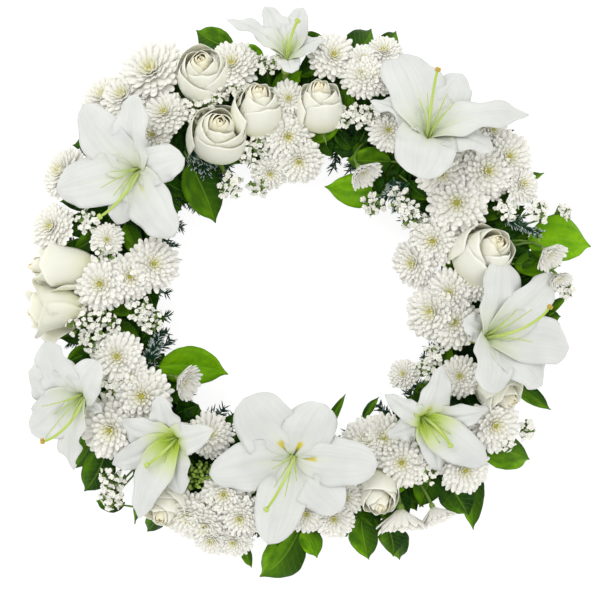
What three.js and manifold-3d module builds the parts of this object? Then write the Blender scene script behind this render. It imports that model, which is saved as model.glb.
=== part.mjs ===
// Funeral wreath: a flat ring of floral foam in a shallow plastic tray, dressed all the way round
// with white lilies, ivory roses, spray chrysanthemums and statice, over salal, lily and ruscus
// leaves and two fir sprigs. Every bloom and sprig is one cut stem pushed into the foam.
// Units are millimetres. The wreath lies on its tray with its face up, so +Z looks out of the face.
// Places are written [degrees, mm]: the angle round the ring's centre from +X, and the radius.
import * as THREE from 'three';
import { mergeVertices } from 'three/addons/utils/BufferGeometryUtils.js';
import Module from 'manifold-3d';

const wasm = await Module();
wasm.setup();

// ---- driving dimensions ----
const RING_INNER = 170;
const RING_OUTER = 232;
const RING_MIDDLE = (RING_INNER + RING_OUTER) / 2;
const FOAM_TOP = 62;
const TRAY_HEIGHT = 24;
const TRAY_WALL = 2.4;
const RING_STEPS = 30;
const GAP = 0.35;

// The dome of flowers stands highest over the middle of the ring and falls away on both sides.
const CROWN_RADIUS = 200;
const CROWN_REACH = 105;
const CROWN_FOOT = 28;
const CROWN_RISE = 62;
const CROWN_TILT = 0.75;

const STEM_END = 9;
const FOAM_EDGE = 14;
const FOOTHOLD_TRIES = 12;
const FOOTHOLD_STEP = 4;
const STEM_SPACE = 2;
const STEM_RADIUS = { lily: 3.6, rose: 3, mum: 2.2, statice: 1.7, leaf: 1.8, fir: 2 };
const PEDICEL_SHARE = 0.62;
const STEM_SIDES = 4;
const TRUMPET_SIDES = 6;
const ROSE_SIDES = 8;
const MUM_SIDES = 7;
const CLUSTER_SIDES = 5;
const PEDICEL_SIDES = 3;
const BOW_TRIES = 25;
const BOW_STEP = 4;
const NECK_RISE = 2;

const LILY_CONE = THREE.MathUtils.degToRad(73);
const LILY_LIFT = 8;
const LILY_THICK = 2;
const LILY_STEEPEST = 1.0;
const TRUMPET = { heel: 16, neck: 5, depth: 18, mouth: 15 };
const PISTIL_RADIUS = 1.8;
const TEPAL_WIDTH = { wide: 44, middle: 35, narrow: 27 };

const MUM_LIFT = 0;
const ROSE_LIFT = 8;
const STATICE_LIFT = -4;
const LEAF_DROP = 16;
const LEAF_THICK = 1.4;
const MIDRIB_SHARE = 0.4;
const NEEDLE_BODY = 11;

// ---- layout ----
// Each tepal is [azimuth seen from the front, reach in mm, width class]; lean is [azimuth, tilt].
const LILIES = [
  {
    at: [141, 220], lean: [200, 30], pistil: 66, leaves: [],
    tepals: [[132, 92, 'wide'], [94, 78, 'narrow'], [14, 50, 'middle'], [-64, 80, 'wide'],
      [-111, 64, 'middle'], [195, 94, 'wide']],
  },
  {
    at: [93, 255], lean: [90, 45], pistil: 44, leaves: [[[90, 240], [83, 262], 12]],
    tepals: [[113, 58, 'middle'], [74, 56, 'wide'], [31, 55, 'wide'], [146, 66, 'narrow'],
      [170, 46, 'middle'], [-84, 24, 'wide']],
  },
  {
    at: [51, 219], lean: [75, 40], pistil: 72, leaves: [[[45, 240], [45, 305], 15]],
    tepals: [[104, 94, 'wide'], [61, 78, 'middle'], [13, 100, 'wide'], [-5, 62, 'middle'],
      [-110, 40, 'wide'], [147, 74, 'narrow']],
  },
  {
    at: [348, 203], lean: [15, 40], pistil: 70,
    leaves: [[[353, 236], [1, 295], 15], [[339, 246], [336, 301], 17]],
    tepals: [[76, 86, 'wide'], [39, 101, 'middle'], [-5, 92, 'wide'], [-37, 82, 'wide'],
      [-86, 60, 'wide'], [140, 28, 'middle']],
  },
  {
    at: [316, 182], lean: [-45, 28], pistil: 38, leaves: [[[298, 148], [309, 138], 9]],
    tepals: [[69, 52, 'middle'], [10, 72, 'narrow'], [-37, 86, 'wide'], [-68, 62, 'middle'],
      [152, 44, 'narrow'], [212, 40, 'middle']],
  },
  {
    at: [268, 171], lean: [250, 28], pistil: 58, leaves: [[[280, 152], [296, 116], 11]],
    tepals: [[132, 76, 'wide'], [60, 62, 'middle'], [-8, 86, 'wide'], [-50, 70, 'middle'],
      [-104, 98, 'wide'], [189, 88, 'middle']],
  },
  {
    at: [229, 198], lean: [215, 32], pistil: 38, leaves: [[[233, 252], [234, 306], 14]],
    tepals: [[166, 62, 'wide'], [108, 42, 'middle'], [-15, 30, 'middle'], [-99, 54, 'middle'],
      [-123, 92, 'wide'], [196, 78, 'wide']],
  },
  {
    at: [204, 251], lean: [215, 42], pistil: 62, leaves: [],
    tepals: [[160, 65, 'wide'], [130, 70, 'wide'], [64, 38, 'middle'], [215, 72, 'wide'],
      [-100, 72, 'middle'], [-50, 26, 'narrow']],
  },
];

// Roses: place, head radius, lean [azimuth, tilt].
const ROSES = [
  [[113, 266], 31, [100, 18]],
  [[116, 201], 31, [80, 18]],
  [[102, 213], 30, [85, 30]],
  [[84, 215], 30, [85, 30]],
  [[172, 263], 28, [178, 68]],
  [[184, 264], 28, [186, 70]],
  [[14, 209], 32, [40, 35]],
  [[292, 229], 17, [265, 50]],
  [[335, 240], 22, [320, 60]],
  [[235, 262], 23, [250, 55]],
];

// Chrysanthemum sprays: each head is [degrees, mm, head radius].
const CHRYSANTHEMUMS = [
  [[131, 293, 19], [134, 315, 22], [125, 302, 26], [126, 242, 18], [132, 234, 16]],
  [[164, 278, 22], [152, 290, 24]],
  [[173, 184, 22], [176, 214, 25], [163, 216, 15], [167, 162, 24]],
  [[205, 202, 19], [198, 206, 24], [212, 200, 27], [215, 247, 29], [214, 150, 16]],
  [[249, 226, 21], [255, 245, 21], [237, 176, 21]],
  [[247, 265, 21], [243, 263, 23], [250, 277, 18], [255, 272, 17]],
  [[279, 240, 19], [283, 220, 18], [272, 232, 19]],
  [[295, 171, 22], [301, 176, 22], [302, 209, 24]],
  [[314, 257, 23], [327, 251, 25], [300, 269, 29]],
  [[334, 193, 19], [351, 170, 24], [354, 145, 26], [324, 140, 14]],
  [[2, 163, 22], [6, 191, 19], [23, 158, 23], [17, 130, 22]],
  [[41, 204, 23], [31, 199, 28], [44, 220, 16]],
  [[34, 244, 26], [34, 272, 24], [41, 251, 19], [41, 276, 17], [27, 270, 18]],
  [[10, 279, 15], [6, 281, 13]],
  [[74, 249, 21], [71, 253, 19], [71, 282, 17], [75, 266, 15]],
  [[62, 205, 19], [65, 150, 15]],
  [[106, 262, 24], [82, 264, 23], [93, 215, 17]],
  [[94, 175, 23], [90, 149, 22], [103, 139, 17]],
];

// Statice sprigs: each cluster of small papery flowers is [degrees, mm, cluster radius].
const STATICE = [
  [[113, 239, 10], [120, 233, 9], [97, 255, 9], [94, 260, 9]],
  [[103, 175, 10], [108, 166, 11], [121, 142, 11], [109, 129, 10]],
  [[187, 210, 12], [192, 225, 12], [187, 236, 12], [206, 222, 11], [167, 214, 11],
    [160, 243, 10], [184, 172, 11], [188, 162, 11]],
  [[233, 218, 11], [224, 282, 11], [227, 300, 10], [247, 243, 11], [256, 222, 11], [231, 186, 10]],
  [[306, 229, 11], [305, 243, 11], [308, 205, 11], [325, 270, 9], [330, 286, 8]],
  [[35, 151, 11], [44, 152, 11], [51, 130, 10]],
  [[23, 244, 10], [20, 276, 10], [18, 303, 7], [2, 289, 8]],
  [[72, 206, 10], [77, 201, 10], [67, 215, 10]],
];

// Leafy sprigs: each leaf is [base, tip, width].
const SALAL = [
  [[[99, 256], [103, 282], 20], [[105, 280], [111, 314], 34]],
  [[[80, 258], [75, 305], 40], [[73, 275], [70, 311], 24], [[76, 210], [77, 236], 20],
    [[88, 173], [76, 193], 24], [[84, 268], [89, 289], 20]],
  [[[56, 178], [71, 158], 30], [[51, 152], [77, 124], 38], [[57, 164], [56, 128], 26],
    [[47, 172], [37, 177], 18]],
  [[[9, 236], [7, 286], 28], [[14, 255], [10, 324], 50], [[355, 258], [356, 285], 18]],
  [[[322, 258], [325, 307], 26], [[330, 190], [343, 172], 14]],
  [[[310, 236], [300, 262], 34], [[309, 252], [308, 300], 38], [[286, 244], [285, 294], 32],
    [[291, 257], [290, 300], 28], [[294, 274], [291, 307], 22], [[316, 275], [307, 315], 16],
    [[294, 215], [299, 237], 22]],
  [[[270, 251], [262, 308], 44], [[271, 251], [274, 283], 24], [[257, 272], [260, 298], 12]],
  [[[218, 264], [222, 316], 36], [[212, 258], [217, 309], 34], [[230, 295], [225, 314], 18],
    [[237, 276], [237, 304], 20]],
  [[[206, 169], [227, 113], 42], [[188, 201], [194, 177], 22], [[181, 204], [185, 178], 24]],
  [[[129, 188], [138, 122], 42], [[157, 204], [166, 177], 22], [[162, 226], [168, 249], 22]],
];
const RUSCUS = [
  [[[38, 255], [38, 297], 15], [[30, 262], [27, 300], 13]],
  [[[16, 182], [8, 157], 13], [[20, 178], [26, 150], 12]],
];
const FIR = [
  [[127, 205], [122, 172]],
  [[208, 222], [200, 184]],
];

const FOLIAGE_WIDTH_AT = [0.16, 0.96, 0.82, 0.07];
const TEPAL_WIDTH_AT = [0.34, 0.98, 0.88, 0.08];

// ---- geometry helpers ----
const UP = new THREE.Vector3(0, 0, 1);

function polar([degrees, radius], height = 0) {
  const angle = THREE.MathUtils.degToRad(degrees);
  return new THREE.Vector3(radius * Math.cos(angle), radius * Math.sin(angle), height);
}

// Unit vector tilted away from +Z by `tilt` degrees towards the azimuth `degrees`.
function leaning([degrees, tilt]) {
  const slope = THREE.MathUtils.degToRad(tilt);
  return polar([degrees, Math.sin(slope)], Math.cos(slope));
}

function crownShare(radius) {
  return THREE.MathUtils.clamp((radius - CROWN_RADIUS) / CROWN_REACH, -1, 1);
}

function crownHeight(radius) {
  return CROWN_FOOT + CROWN_RISE * Math.sqrt(1 - crownShare(radius) ** 2);
}

// The way a flower at `place` faces when nothing else is said: out of the dome.
function crownFacing([degrees, radius]) {
  const tilt = THREE.MathUtils.radToDeg(Math.asin(crownShare(radius)) * CROWN_TILT);
  return leaning([degrees, tilt]);
}

function solid(geometry) {
  const bare = geometry.index ? geometry.toNonIndexed() : geometry.clone();
  bare.deleteAttribute('normal');
  bare.deleteAttribute('uv');
  const merged = mergeVertices(bare, 1e-3);
  const mesh = new wasm.Mesh({
    numProp: 3,
    vertProperties: new Float32Array(merged.attributes.position.array),
    triVerts: new Uint32Array(merged.index.array),
  });
  return new wasm.Manifold(mesh);
}

function union(solids) {
  return solids.length > 1 ? wasm.Manifold.union(solids) : solids[0];
}

// Turns a shape made along +Z so that it stands at `place` along `axis`.
function stood(geometry, place, axis) {
  geometry.applyQuaternion(new THREE.Quaternion().setFromUnitVectors(UP, axis));
  geometry.translate(place.x, place.y, place.z);
  return geometry;
}

// A round profile [[radius, height], ...] turned about +Z.
function turned(profile, sides) {
  const points = profile.map(([radius, height]) => new THREE.Vector2(radius, height));
  return new THREE.LatheGeometry(points, sides).rotateX(Math.PI / 2);
}

// A round rod with `sides` sides along a curve.
function rod(curve, radius, sides, steps) {
  const section = new THREE.Shape();
  for (let side = 0; side < sides; side += 1) {
    const angle = (side / sides) * Math.PI * 2;
    const corner = [radius * Math.cos(angle), radius * Math.sin(angle)];
    if (side === 0) section.moveTo(...corner);
    else section.lineTo(...corner);
  }
  section.closePath();
  return new THREE.ExtrudeGeometry(section, { steps, extrudePath: curve, bevelEnabled: false });
}

function between(values, share) {
  const step = THREE.MathUtils.clamp(share, 0, 1) * (values.length - 1);
  const low = Math.min(Math.floor(step), values.length - 2);
  return THREE.MathUtils.lerp(values[low], values[low + 1], step - low);
}

// A thin tepal or leaf: a slab bent along `spine`, as wide as `widths` says.
function blade({ spine, side, width, widths, thick }, grow) {
  const slab = new THREE.BoxGeometry(1, 1, 1, 1, widths.length - 1, 1);
  const corners = slab.attributes.position;
  for (let i = 0; i < corners.count; i += 1) {
    const along = corners.getY(i) + 0.5;
    const across = corners.getX(i) * 2;
    const heading = spine.getTangent(along);
    const face = new THREE.Vector3().crossVectors(side, heading).normalize();
    const half = (width / 2) * between(widths, along) + grow;
    const lift = corners.getZ(i) * (thick + 2 * grow);
    const point = spine.getPoint(along)
      .addScaledVector(side, across * half)
      .addScaledVector(face, lift)
      .addScaledVector(heading, (along - 0.5) * 2 * grow);
    corners.setXYZ(i, point.x, point.y, point.z);
  }
  return slab;
}

// ---- stems ----
// Every stem is laid first. `stemWood` is all of them so far, each grown by the gap.
let stemWood = null;
const footholds = [];

function isClear(wood) {
  return stemWood === null || stemWood.intersect(wood).isEmpty();
}

// The free spot in the foam nearest to a flower: candidates circle out from under the bloom.
function foothold(place, radius) {
  const angle = Math.atan2(place.y, place.x);
  const under = Math.hypot(place.x, place.y);
  const wanted = THREE.MathUtils.clamp(under, RING_INNER + FOAM_EDGE, RING_OUTER - FOAM_EDGE);
  for (let circle = 0; circle < FOOTHOLD_TRIES; circle += 1) {
    for (let turn = 0; turn < FOOTHOLD_TRIES; turn += 1) {
      const swing = (turn / FOOTHOLD_TRIES) * Math.PI * 2;
      const reach = wanted + circle * FOOTHOLD_STEP * Math.cos(swing);
      const bearing = angle + (circle * FOOTHOLD_STEP * Math.sin(swing)) / wanted;
      const spot = new THREE.Vector3(
        reach * Math.cos(bearing), reach * Math.sin(bearing), STEM_END);
      const inFoam = Math.abs(reach - RING_MIDDLE) < RING_OUTER - RING_MIDDLE - FOAM_EDGE * 0.7;
      const free = footholds.every((other) => (
        other.spot.distanceTo(spot) > other.radius + radius + STEM_SPACE));
      if (inFoam && free) {
        footholds.push({ spot, radius });
        return spot;
      }
    }
  }
  throw new Error('no room left in the foam');
}

function pedicel(curve, radius, steps) {
  const grown = solid(rod(curve, radius + GAP, PEDICEL_SIDES, steps));
  return isClear(grown) ? { wood: solid(rod(curve, radius, PEDICEL_SIDES, steps)), grown } : null;
}

// A pedicel runs straight if it can, or bows sideways, a little more each time, until it is clear.
function routed(from, to, arrive, radius) {
  const straight = pedicel(new THREE.LineCurve3(from, to), radius, 1);
  if (straight !== null) return straight;
  const span = from.distanceTo(to);
  const aside = new THREE.Vector3().subVectors(to, from).cross(UP).normalize();
  for (let attempt = 1; attempt < BOW_TRIES; attempt += 1) {
    const bow = Math.ceil(attempt / 2) * (attempt % 2 ? BOW_STEP : -BOW_STEP);
    const bend = from.clone().lerp(to, 0.5).addScaledVector(aside, bow)
      .addScaledVector(UP, span * 0.1).addScaledVector(arrive, -span * 0.1);
    const bowed = pedicel(new THREE.QuadraticBezierCurve3(from, bend, to), radius, 2);
    if (bowed !== null) return bowed;
  }
  throw new Error('no clear way to a bloom');
}

// A straight shaft down into the foam, with a bend at its neck up to the first bloom.
function shaft(foot, neck, top, radius) {
  const start = neck.clone().setZ(neck.z - radius);
  return [
    solid(rod(new THREE.LineCurve3(foot, neck), radius, STEM_SIDES, 1)),
    solid(rod(new THREE.LineCurve3(start, top), radius * 0.9, STEM_SIDES, 1)),
  ];
}

// One cut stem: a shaft from the foam to the first bloom, and a pedicel from it to each other one.
function laidStem(ends, radius) {
  const [first, ...others] = ends;
  const foot = foothold(first.base, radius);
  const neck = foot.clone().setZ(FOAM_TOP + NECK_RISE);
  const parts = shaft(foot, neck, first.base, radius);
  const grown = shaft(foot, neck, first.base, radius + GAP);
  others.forEach((end, index) => {
    const fork = neck.clone().lerp(first.base, 0.1 + (0.5 * index) / others.length);
    const path = routed(fork, end.base, end.axis, radius * PEDICEL_SHARE);
    parts.push(path.wood);
    grown.push(path.grown);
  });
  const room = union(grown);
  stemWood = stemWood === null ? room : stemWood.add(room);
  return { wood: union(parts), room };
}

// ---- lilies ----
// A tepal's tip lies on a cone about the flower's axis, seen at `reach` from the throat.
function tepalTip(throat, axis, azimuth, reach) {
  const outward = polar([azimuth, 1]);
  const level = outward.dot(axis);
  const slope = Math.atan2(axis.z, level);
  const spread = Math.acos(Math.min(1, Math.cos(LILY_CONE) / Math.hypot(level, axis.z)));
  const rise = Math.min(slope - spread, LILY_STEEPEST);
  return throat.clone().addScaledVector(outward, reach).addScaledVector(UP, reach * Math.tan(rise));
}

// A tepal springs from the rim of the trumpet, on the side where its tip lies.
function tepal(throat, axis, [azimuth, reach, kind]) {
  const tip = tepalTip(throat, axis, azimuth, reach);
  const outward = new THREE.Vector3().subVectors(tip, throat);
  outward.addScaledVector(axis, -outward.dot(axis)).normalize();
  const start = throat.clone().addScaledVector(axis, TRUMPET.depth - 2)
    .addScaledVector(outward, TRUMPET.mouth - 2);
  const run = new THREE.Vector3().subVectors(tip, start);
  const length = run.length();
  const spine = new THREE.QuadraticBezierCurve3(
    start,
    start.clone().addScaledVector(axis, length * 0.28).addScaledVector(run, 0.5),
    tip,
  );
  const side = new THREE.Vector3().crossVectors(run, axis).normalize();
  const width = TEPAL_WIDTH[kind] * Math.min(1, 0.45 + length / 150);
  return { spine, side, width, widths: TEPAL_WIDTH_AT, thick: LILY_THICK };
}

function lily({ at, lean, tepals, pistil, leaves }) {
  const axis = leaning(lean);
  const throat = polar(at, crownHeight(at[1]) + LILY_LIFT);
  const base = throat.clone().addScaledVector(axis, -TRUMPET.heel + 2);
  const pistilPath = new THREE.QuadraticBezierCurve3(
    throat,
    throat.clone().addScaledVector(axis, pistil * 0.7),
    throat.clone().addScaledVector(axis, pistil * 0.75)
      .addScaledVector(polar([lean[0], 1]), pistil * 0.55),
  );
  const cup = [[0, -TRUMPET.heel], [TRUMPET.neck, -TRUMPET.heel], [TRUMPET.mouth, TRUMPET.depth],
    [TRUMPET.mouth - 3, TRUMPET.depth], [0, 2]];
  return {
    ends: [{ base, axis }, ...leaves.map(leafEnd)],
    petals: (grow) => [
      solid(stood(turned(grownProfile(cup, grow), TRUMPET_SIDES), throat, axis)),
      solid(rod(pistilPath, PISTIL_RADIUS + grow, STEM_SIDES, 2)),
      ...tepals.map((entry) => solid(blade(tepal(throat, axis, entry), grow))),
      ...leaves.map((entry) => solid(blade(leaf(entry), grow))),
    ],
  };
}

// ---- round heads ----
// A profile grown outwards: radii by the gap, and the two ends on the axis up and down.
function grownProfile(profile, grow) {
  const middle = profile.reduce((sum, [, height]) => sum + height, 0) / profile.length;
  return profile.map(([radius, height]) => [
    radius === 0 ? 0 : radius + grow,
    height + Math.sign(height - middle) * grow,
  ]);
}

function head(place, axis, profile, sides) {
  return (grow) => solid(stood(turned(grownProfile(profile, grow), sides), place, axis));
}

function rose([at, size, lean]) {
  const axis = leaning(lean);
  const place = polar(at, crownHeight(at[1]) + ROSE_LIFT - size * 0.25 * (lean[1] / 60));
  const profile = [[0, -0.72], [0.42, -0.62], [0.92, -0.12], [1, 0.26], [0.84, 0.58], [0.46, 0.7],
    [0, 0.6]].map(([radius, height]) => [radius * size, height * size]);
  const base = place.clone().addScaledVector(axis, -size * 0.2);
  const bud = head(place, axis, profile, ROSE_SIDES);
  return { ends: [{ base, axis }], petals: (grow) => [bud(grow)] };
}

function mum([degrees, radius, size]) {
  const at = [degrees, radius];
  const axis = crownFacing(at);
  const place = polar(at, crownHeight(radius) + MUM_LIFT);
  const profile = [[0, -0.34], [1, 0.06], [0.7, 0.42], [0, 0.56]]
    .map(([wide, height]) => [wide * size, height * size]);
  const base = place.clone().addScaledVector(axis, size * 0.12);
  return { end: { base, axis }, bloom: head(place, axis, profile, MUM_SIDES) };
}

function spray(heads) {
  const mums = heads.map(mum);
  return { ends: mums.map((entry) => entry.end), petals: (grow) => mums.map((m) => m.bloom(grow)) };
}

function staticeCluster([degrees, radius, size]) {
  const at = [degrees, radius];
  const axis = crownFacing(at);
  const place = polar(at, crownHeight(radius) + STATICE_LIFT);
  const base = place.clone().addScaledVector(axis, size * 0.2);
  return {
    end: { base, axis },
    bloom: (grow) => {
      const wide = size + grow;
      const profile = [[0, -wide * 0.6], [wide, 0], [0, wide * 0.8]];
      return solid(stood(turned(profile, CLUSTER_SIDES), place, axis));
    },
  };
}

function staticeSprig(clusters) {
  const balls = clusters.map(staticeCluster);
  return { ends: balls.map((entry) => entry.end), petals: (grow) => balls.map((b) => b.bloom(grow)) };
}

// ---- foliage ----
function leafPoint(place) {
  return polar(place, crownHeight(place[1]) - LEAF_DROP);
}

function leaf([from, to, width]) {
  const start = leafPoint(from);
  const tip = leafPoint(to);
  const run = new THREE.Vector3().subVectors(tip, start);
  const spine = new THREE.QuadraticBezierCurve3(
    start,
    start.clone().addScaledVector(run, 0.55).addScaledVector(UP, run.length() * 0.12),
    tip,
  );
  const side = new THREE.Vector3().crossVectors(run, UP).normalize();
  return { spine, side, width, widths: FOLIAGE_WIDTH_AT, thick: LEAF_THICK };
}

// The petiole runs on along the blade as its midrib.
function leafEnd(entry) {
  const { spine } = leaf(entry);
  return { base: spine.getPoint(MIDRIB_SHARE), axis: spine.getTangent(MIDRIB_SHARE) };
}

function leafySprig(leaves) {
  return {
    ends: leaves.map(leafEnd),
    petals: (grow) => leaves.map((entry) => solid(blade(leaf(entry), grow))),
  };
}

// A fir sprig's needles stand round the twig as one bottle-brush body.
function firSprig([from, to]) {
  const start = leafPoint(from);
  const tip = leafPoint(to);
  const axis = new THREE.Vector3().subVectors(tip, start).normalize();
  const length = start.distanceTo(tip);
  const profile = [[0, 0], [NEEDLE_BODY * 0.6, 3], [NEEDLE_BODY, length * 0.4],
    [NEEDLE_BODY * 0.7, length * 0.85], [0, length]];
  const brush = head(start, axis, profile, ROSE_SIDES);
  const base = start.clone().addScaledVector(axis, length * 0.2);
  return { ends: [{ base, axis }], petals: (grow) => [brush(grow)] };
}

// ---- the ring that holds the stems ----
function foamRing() {
  const low = TRAY_WALL + GAP;
  const inner = RING_INNER + TRAY_WALL + GAP;
  const outer = RING_OUTER - TRAY_WALL - GAP;
  const shoulder = FOAM_TOP - 20;
  const profile = [[inner, low], [outer, low], [outer, shoulder], [outer - 8, FOAM_TOP - 6],
    [outer - 20, FOAM_TOP], [inner + 20, FOAM_TOP], [inner + 8, FOAM_TOP - 6], [inner, shoulder],
    [inner, low]];
  return solid(turned(profile, RING_STEPS));
}

function trayRing() {
  const inner = RING_INNER;
  const outer = RING_OUTER;
  const profile = [[inner, 0], [outer, 0], [outer, TRAY_HEIGHT], [outer - TRAY_WALL, TRAY_HEIGHT],
    [outer - TRAY_WALL, TRAY_WALL], [inner + TRAY_WALL, TRAY_WALL],
    [inner + TRAY_WALL, TRAY_HEIGHT], [inner, TRAY_HEIGHT], [inner, 0]];
  return solid(turned(profile, RING_STEPS));
}

// ---- assembly ----
const LOOKS = {
  tray: { color: 0x1f3a26, roughness: 0.5 },
  foam: { color: 0x2f5a2c, roughness: 0.95 },
  lily: { color: 0xf6f6f1, roughness: 0.5 },
  rose: { color: 0xf4efd8, roughness: 0.6 },
  chrysanthemum: { color: 0xfbfbf4, roughness: 0.6 },
  statice: { color: 0xf2f4ee, roughness: 0.8 },
  salal: { color: 0x3c7a1c, roughness: 0.4 },
  ruscus: { color: 0x1f5a22, roughness: 0.4 },
  fir: { color: 0x2c5246, roughness: 0.7 },
};

function numbered(name, index) {
  return `${name}_${String(index + 1).padStart(2, '0')}`;
}

function sprigs(name, look, radius, list, make) {
  return list.map((entry, index) => ({ name: numbered(name, index), look, radius, ...make(entry) }));
}

const plants = [
  ...sprigs('lily', 'lily', STEM_RADIUS.lily, LILIES, lily),
  ...sprigs('rose', 'rose', STEM_RADIUS.rose, ROSES, rose),
  ...sprigs('chrysanthemum_spray', 'chrysanthemum', STEM_RADIUS.mum, CHRYSANTHEMUMS, spray),
  ...sprigs('statice_sprig', 'statice', STEM_RADIUS.statice, STATICE, staticeSprig),
  ...sprigs('salal_sprig', 'salal', STEM_RADIUS.leaf, SALAL, leafySprig),
  ...sprigs('ruscus_stem', 'ruscus', STEM_RADIUS.leaf, RUSCUS, leafySprig),
  ...sprigs('fir_sprig', 'fir', STEM_RADIUS.fir, FIR, firSprig),
];
plants.forEach((plant) => Object.assign(plant, laidStem(plant.ends, plant.radius)));

// Each plant's own body gives way to the other stems and to every bloom placed before it.
let taken = null;
function carved(plant) {
  const otherStems = plants.filter((other) => other !== plant).map((other) => other.room);
  let body = union(plant.petals(0)).subtract(union(otherStems));
  if (taken !== null) body = body.subtract(taken);
  const grown = union(plant.petals(GAP));
  taken = taken === null ? grown : taken.add(grown);
  return largest(body.add(plant.wood));
}

function largest(body) {
  return body.decompose().reduce((best, piece) => (piece.volume() > best.volume() ? piece : best));
}

const group = new THREE.Group();

function addMesh(name, look, body) {
  const { vertProperties, triVerts } = body.getMesh();
  const geometry = new THREE.BufferGeometry();
  geometry.setAttribute('position', new THREE.BufferAttribute(new Float32Array(vertProperties), 3));
  geometry.setIndex(new THREE.BufferAttribute(new Uint32Array(triVerts), 1));
  geometry.computeVertexNormals();
  const mesh = new THREE.Mesh(geometry, new THREE.MeshStandardMaterial(LOOKS[look]));
  mesh.name = name;
  group.add(mesh);
}

plants.forEach((plant) => addMesh(plant.name, plant.look, carved(plant)));
addMesh('foam_ring', 'foam', largest(foamRing().subtract(stemWood).subtract(taken)));
addMesh('base_tray', 'tray', largest(trayRing().subtract(stemWood).subtract(taken)));

// The origin is the middle of the wreath's footprint, on the face that it lies on.
const extent = new THREE.Box3().setFromObject(group);
const middle = extent.getCenter(new THREE.Vector3());
group.position.set(-middle.x, -middle.y, -extent.min.z);
group.updateMatrixWorld(true);

export default group;
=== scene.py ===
"""The looks of a funeral wreath: lilies, roses, spray chrysanthemums and statice on a foam ring.

Every cut stem is one piece that stands for its CAD node.
"""

import math

import bpy
import numpy as np
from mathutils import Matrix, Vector


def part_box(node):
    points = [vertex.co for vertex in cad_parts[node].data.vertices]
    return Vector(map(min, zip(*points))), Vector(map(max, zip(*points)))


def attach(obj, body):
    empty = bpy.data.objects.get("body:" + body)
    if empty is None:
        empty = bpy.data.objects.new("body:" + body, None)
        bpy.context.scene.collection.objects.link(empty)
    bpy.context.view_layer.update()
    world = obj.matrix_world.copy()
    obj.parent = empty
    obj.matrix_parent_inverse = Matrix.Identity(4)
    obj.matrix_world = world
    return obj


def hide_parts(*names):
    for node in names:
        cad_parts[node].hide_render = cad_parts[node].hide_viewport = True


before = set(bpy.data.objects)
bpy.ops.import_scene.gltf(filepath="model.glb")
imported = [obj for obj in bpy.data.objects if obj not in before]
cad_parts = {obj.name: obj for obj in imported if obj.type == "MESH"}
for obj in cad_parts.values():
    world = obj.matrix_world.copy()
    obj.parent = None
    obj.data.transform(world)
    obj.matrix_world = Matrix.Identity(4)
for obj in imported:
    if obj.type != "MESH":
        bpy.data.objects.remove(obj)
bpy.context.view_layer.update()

MM = 0.001
SEED = 41
TURN = 2 * math.pi
UP = np.array([0.0, 0.0, 1.0])

foam_low, foam_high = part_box("foam_ring")
RING_CENTRE = np.array([(foam_low.x + foam_high.x) / 2, (foam_low.y + foam_high.y) / 2, 0.0])
RING_OUTER = (foam_high.x - foam_low.x) / 2
FOAM_WIDTH = 0.057
RING_INNER = RING_OUTER - FOAM_WIDTH
FOAM_TOP = foam_high.z

# The dome of flowers, as in the construction (mm).
CROWN_RADIUS = 200
CROWN_REACH = 105
CROWN_FOOT = 28
CROWN_RISE = 62
CROWN_TILT = 0.75

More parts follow.
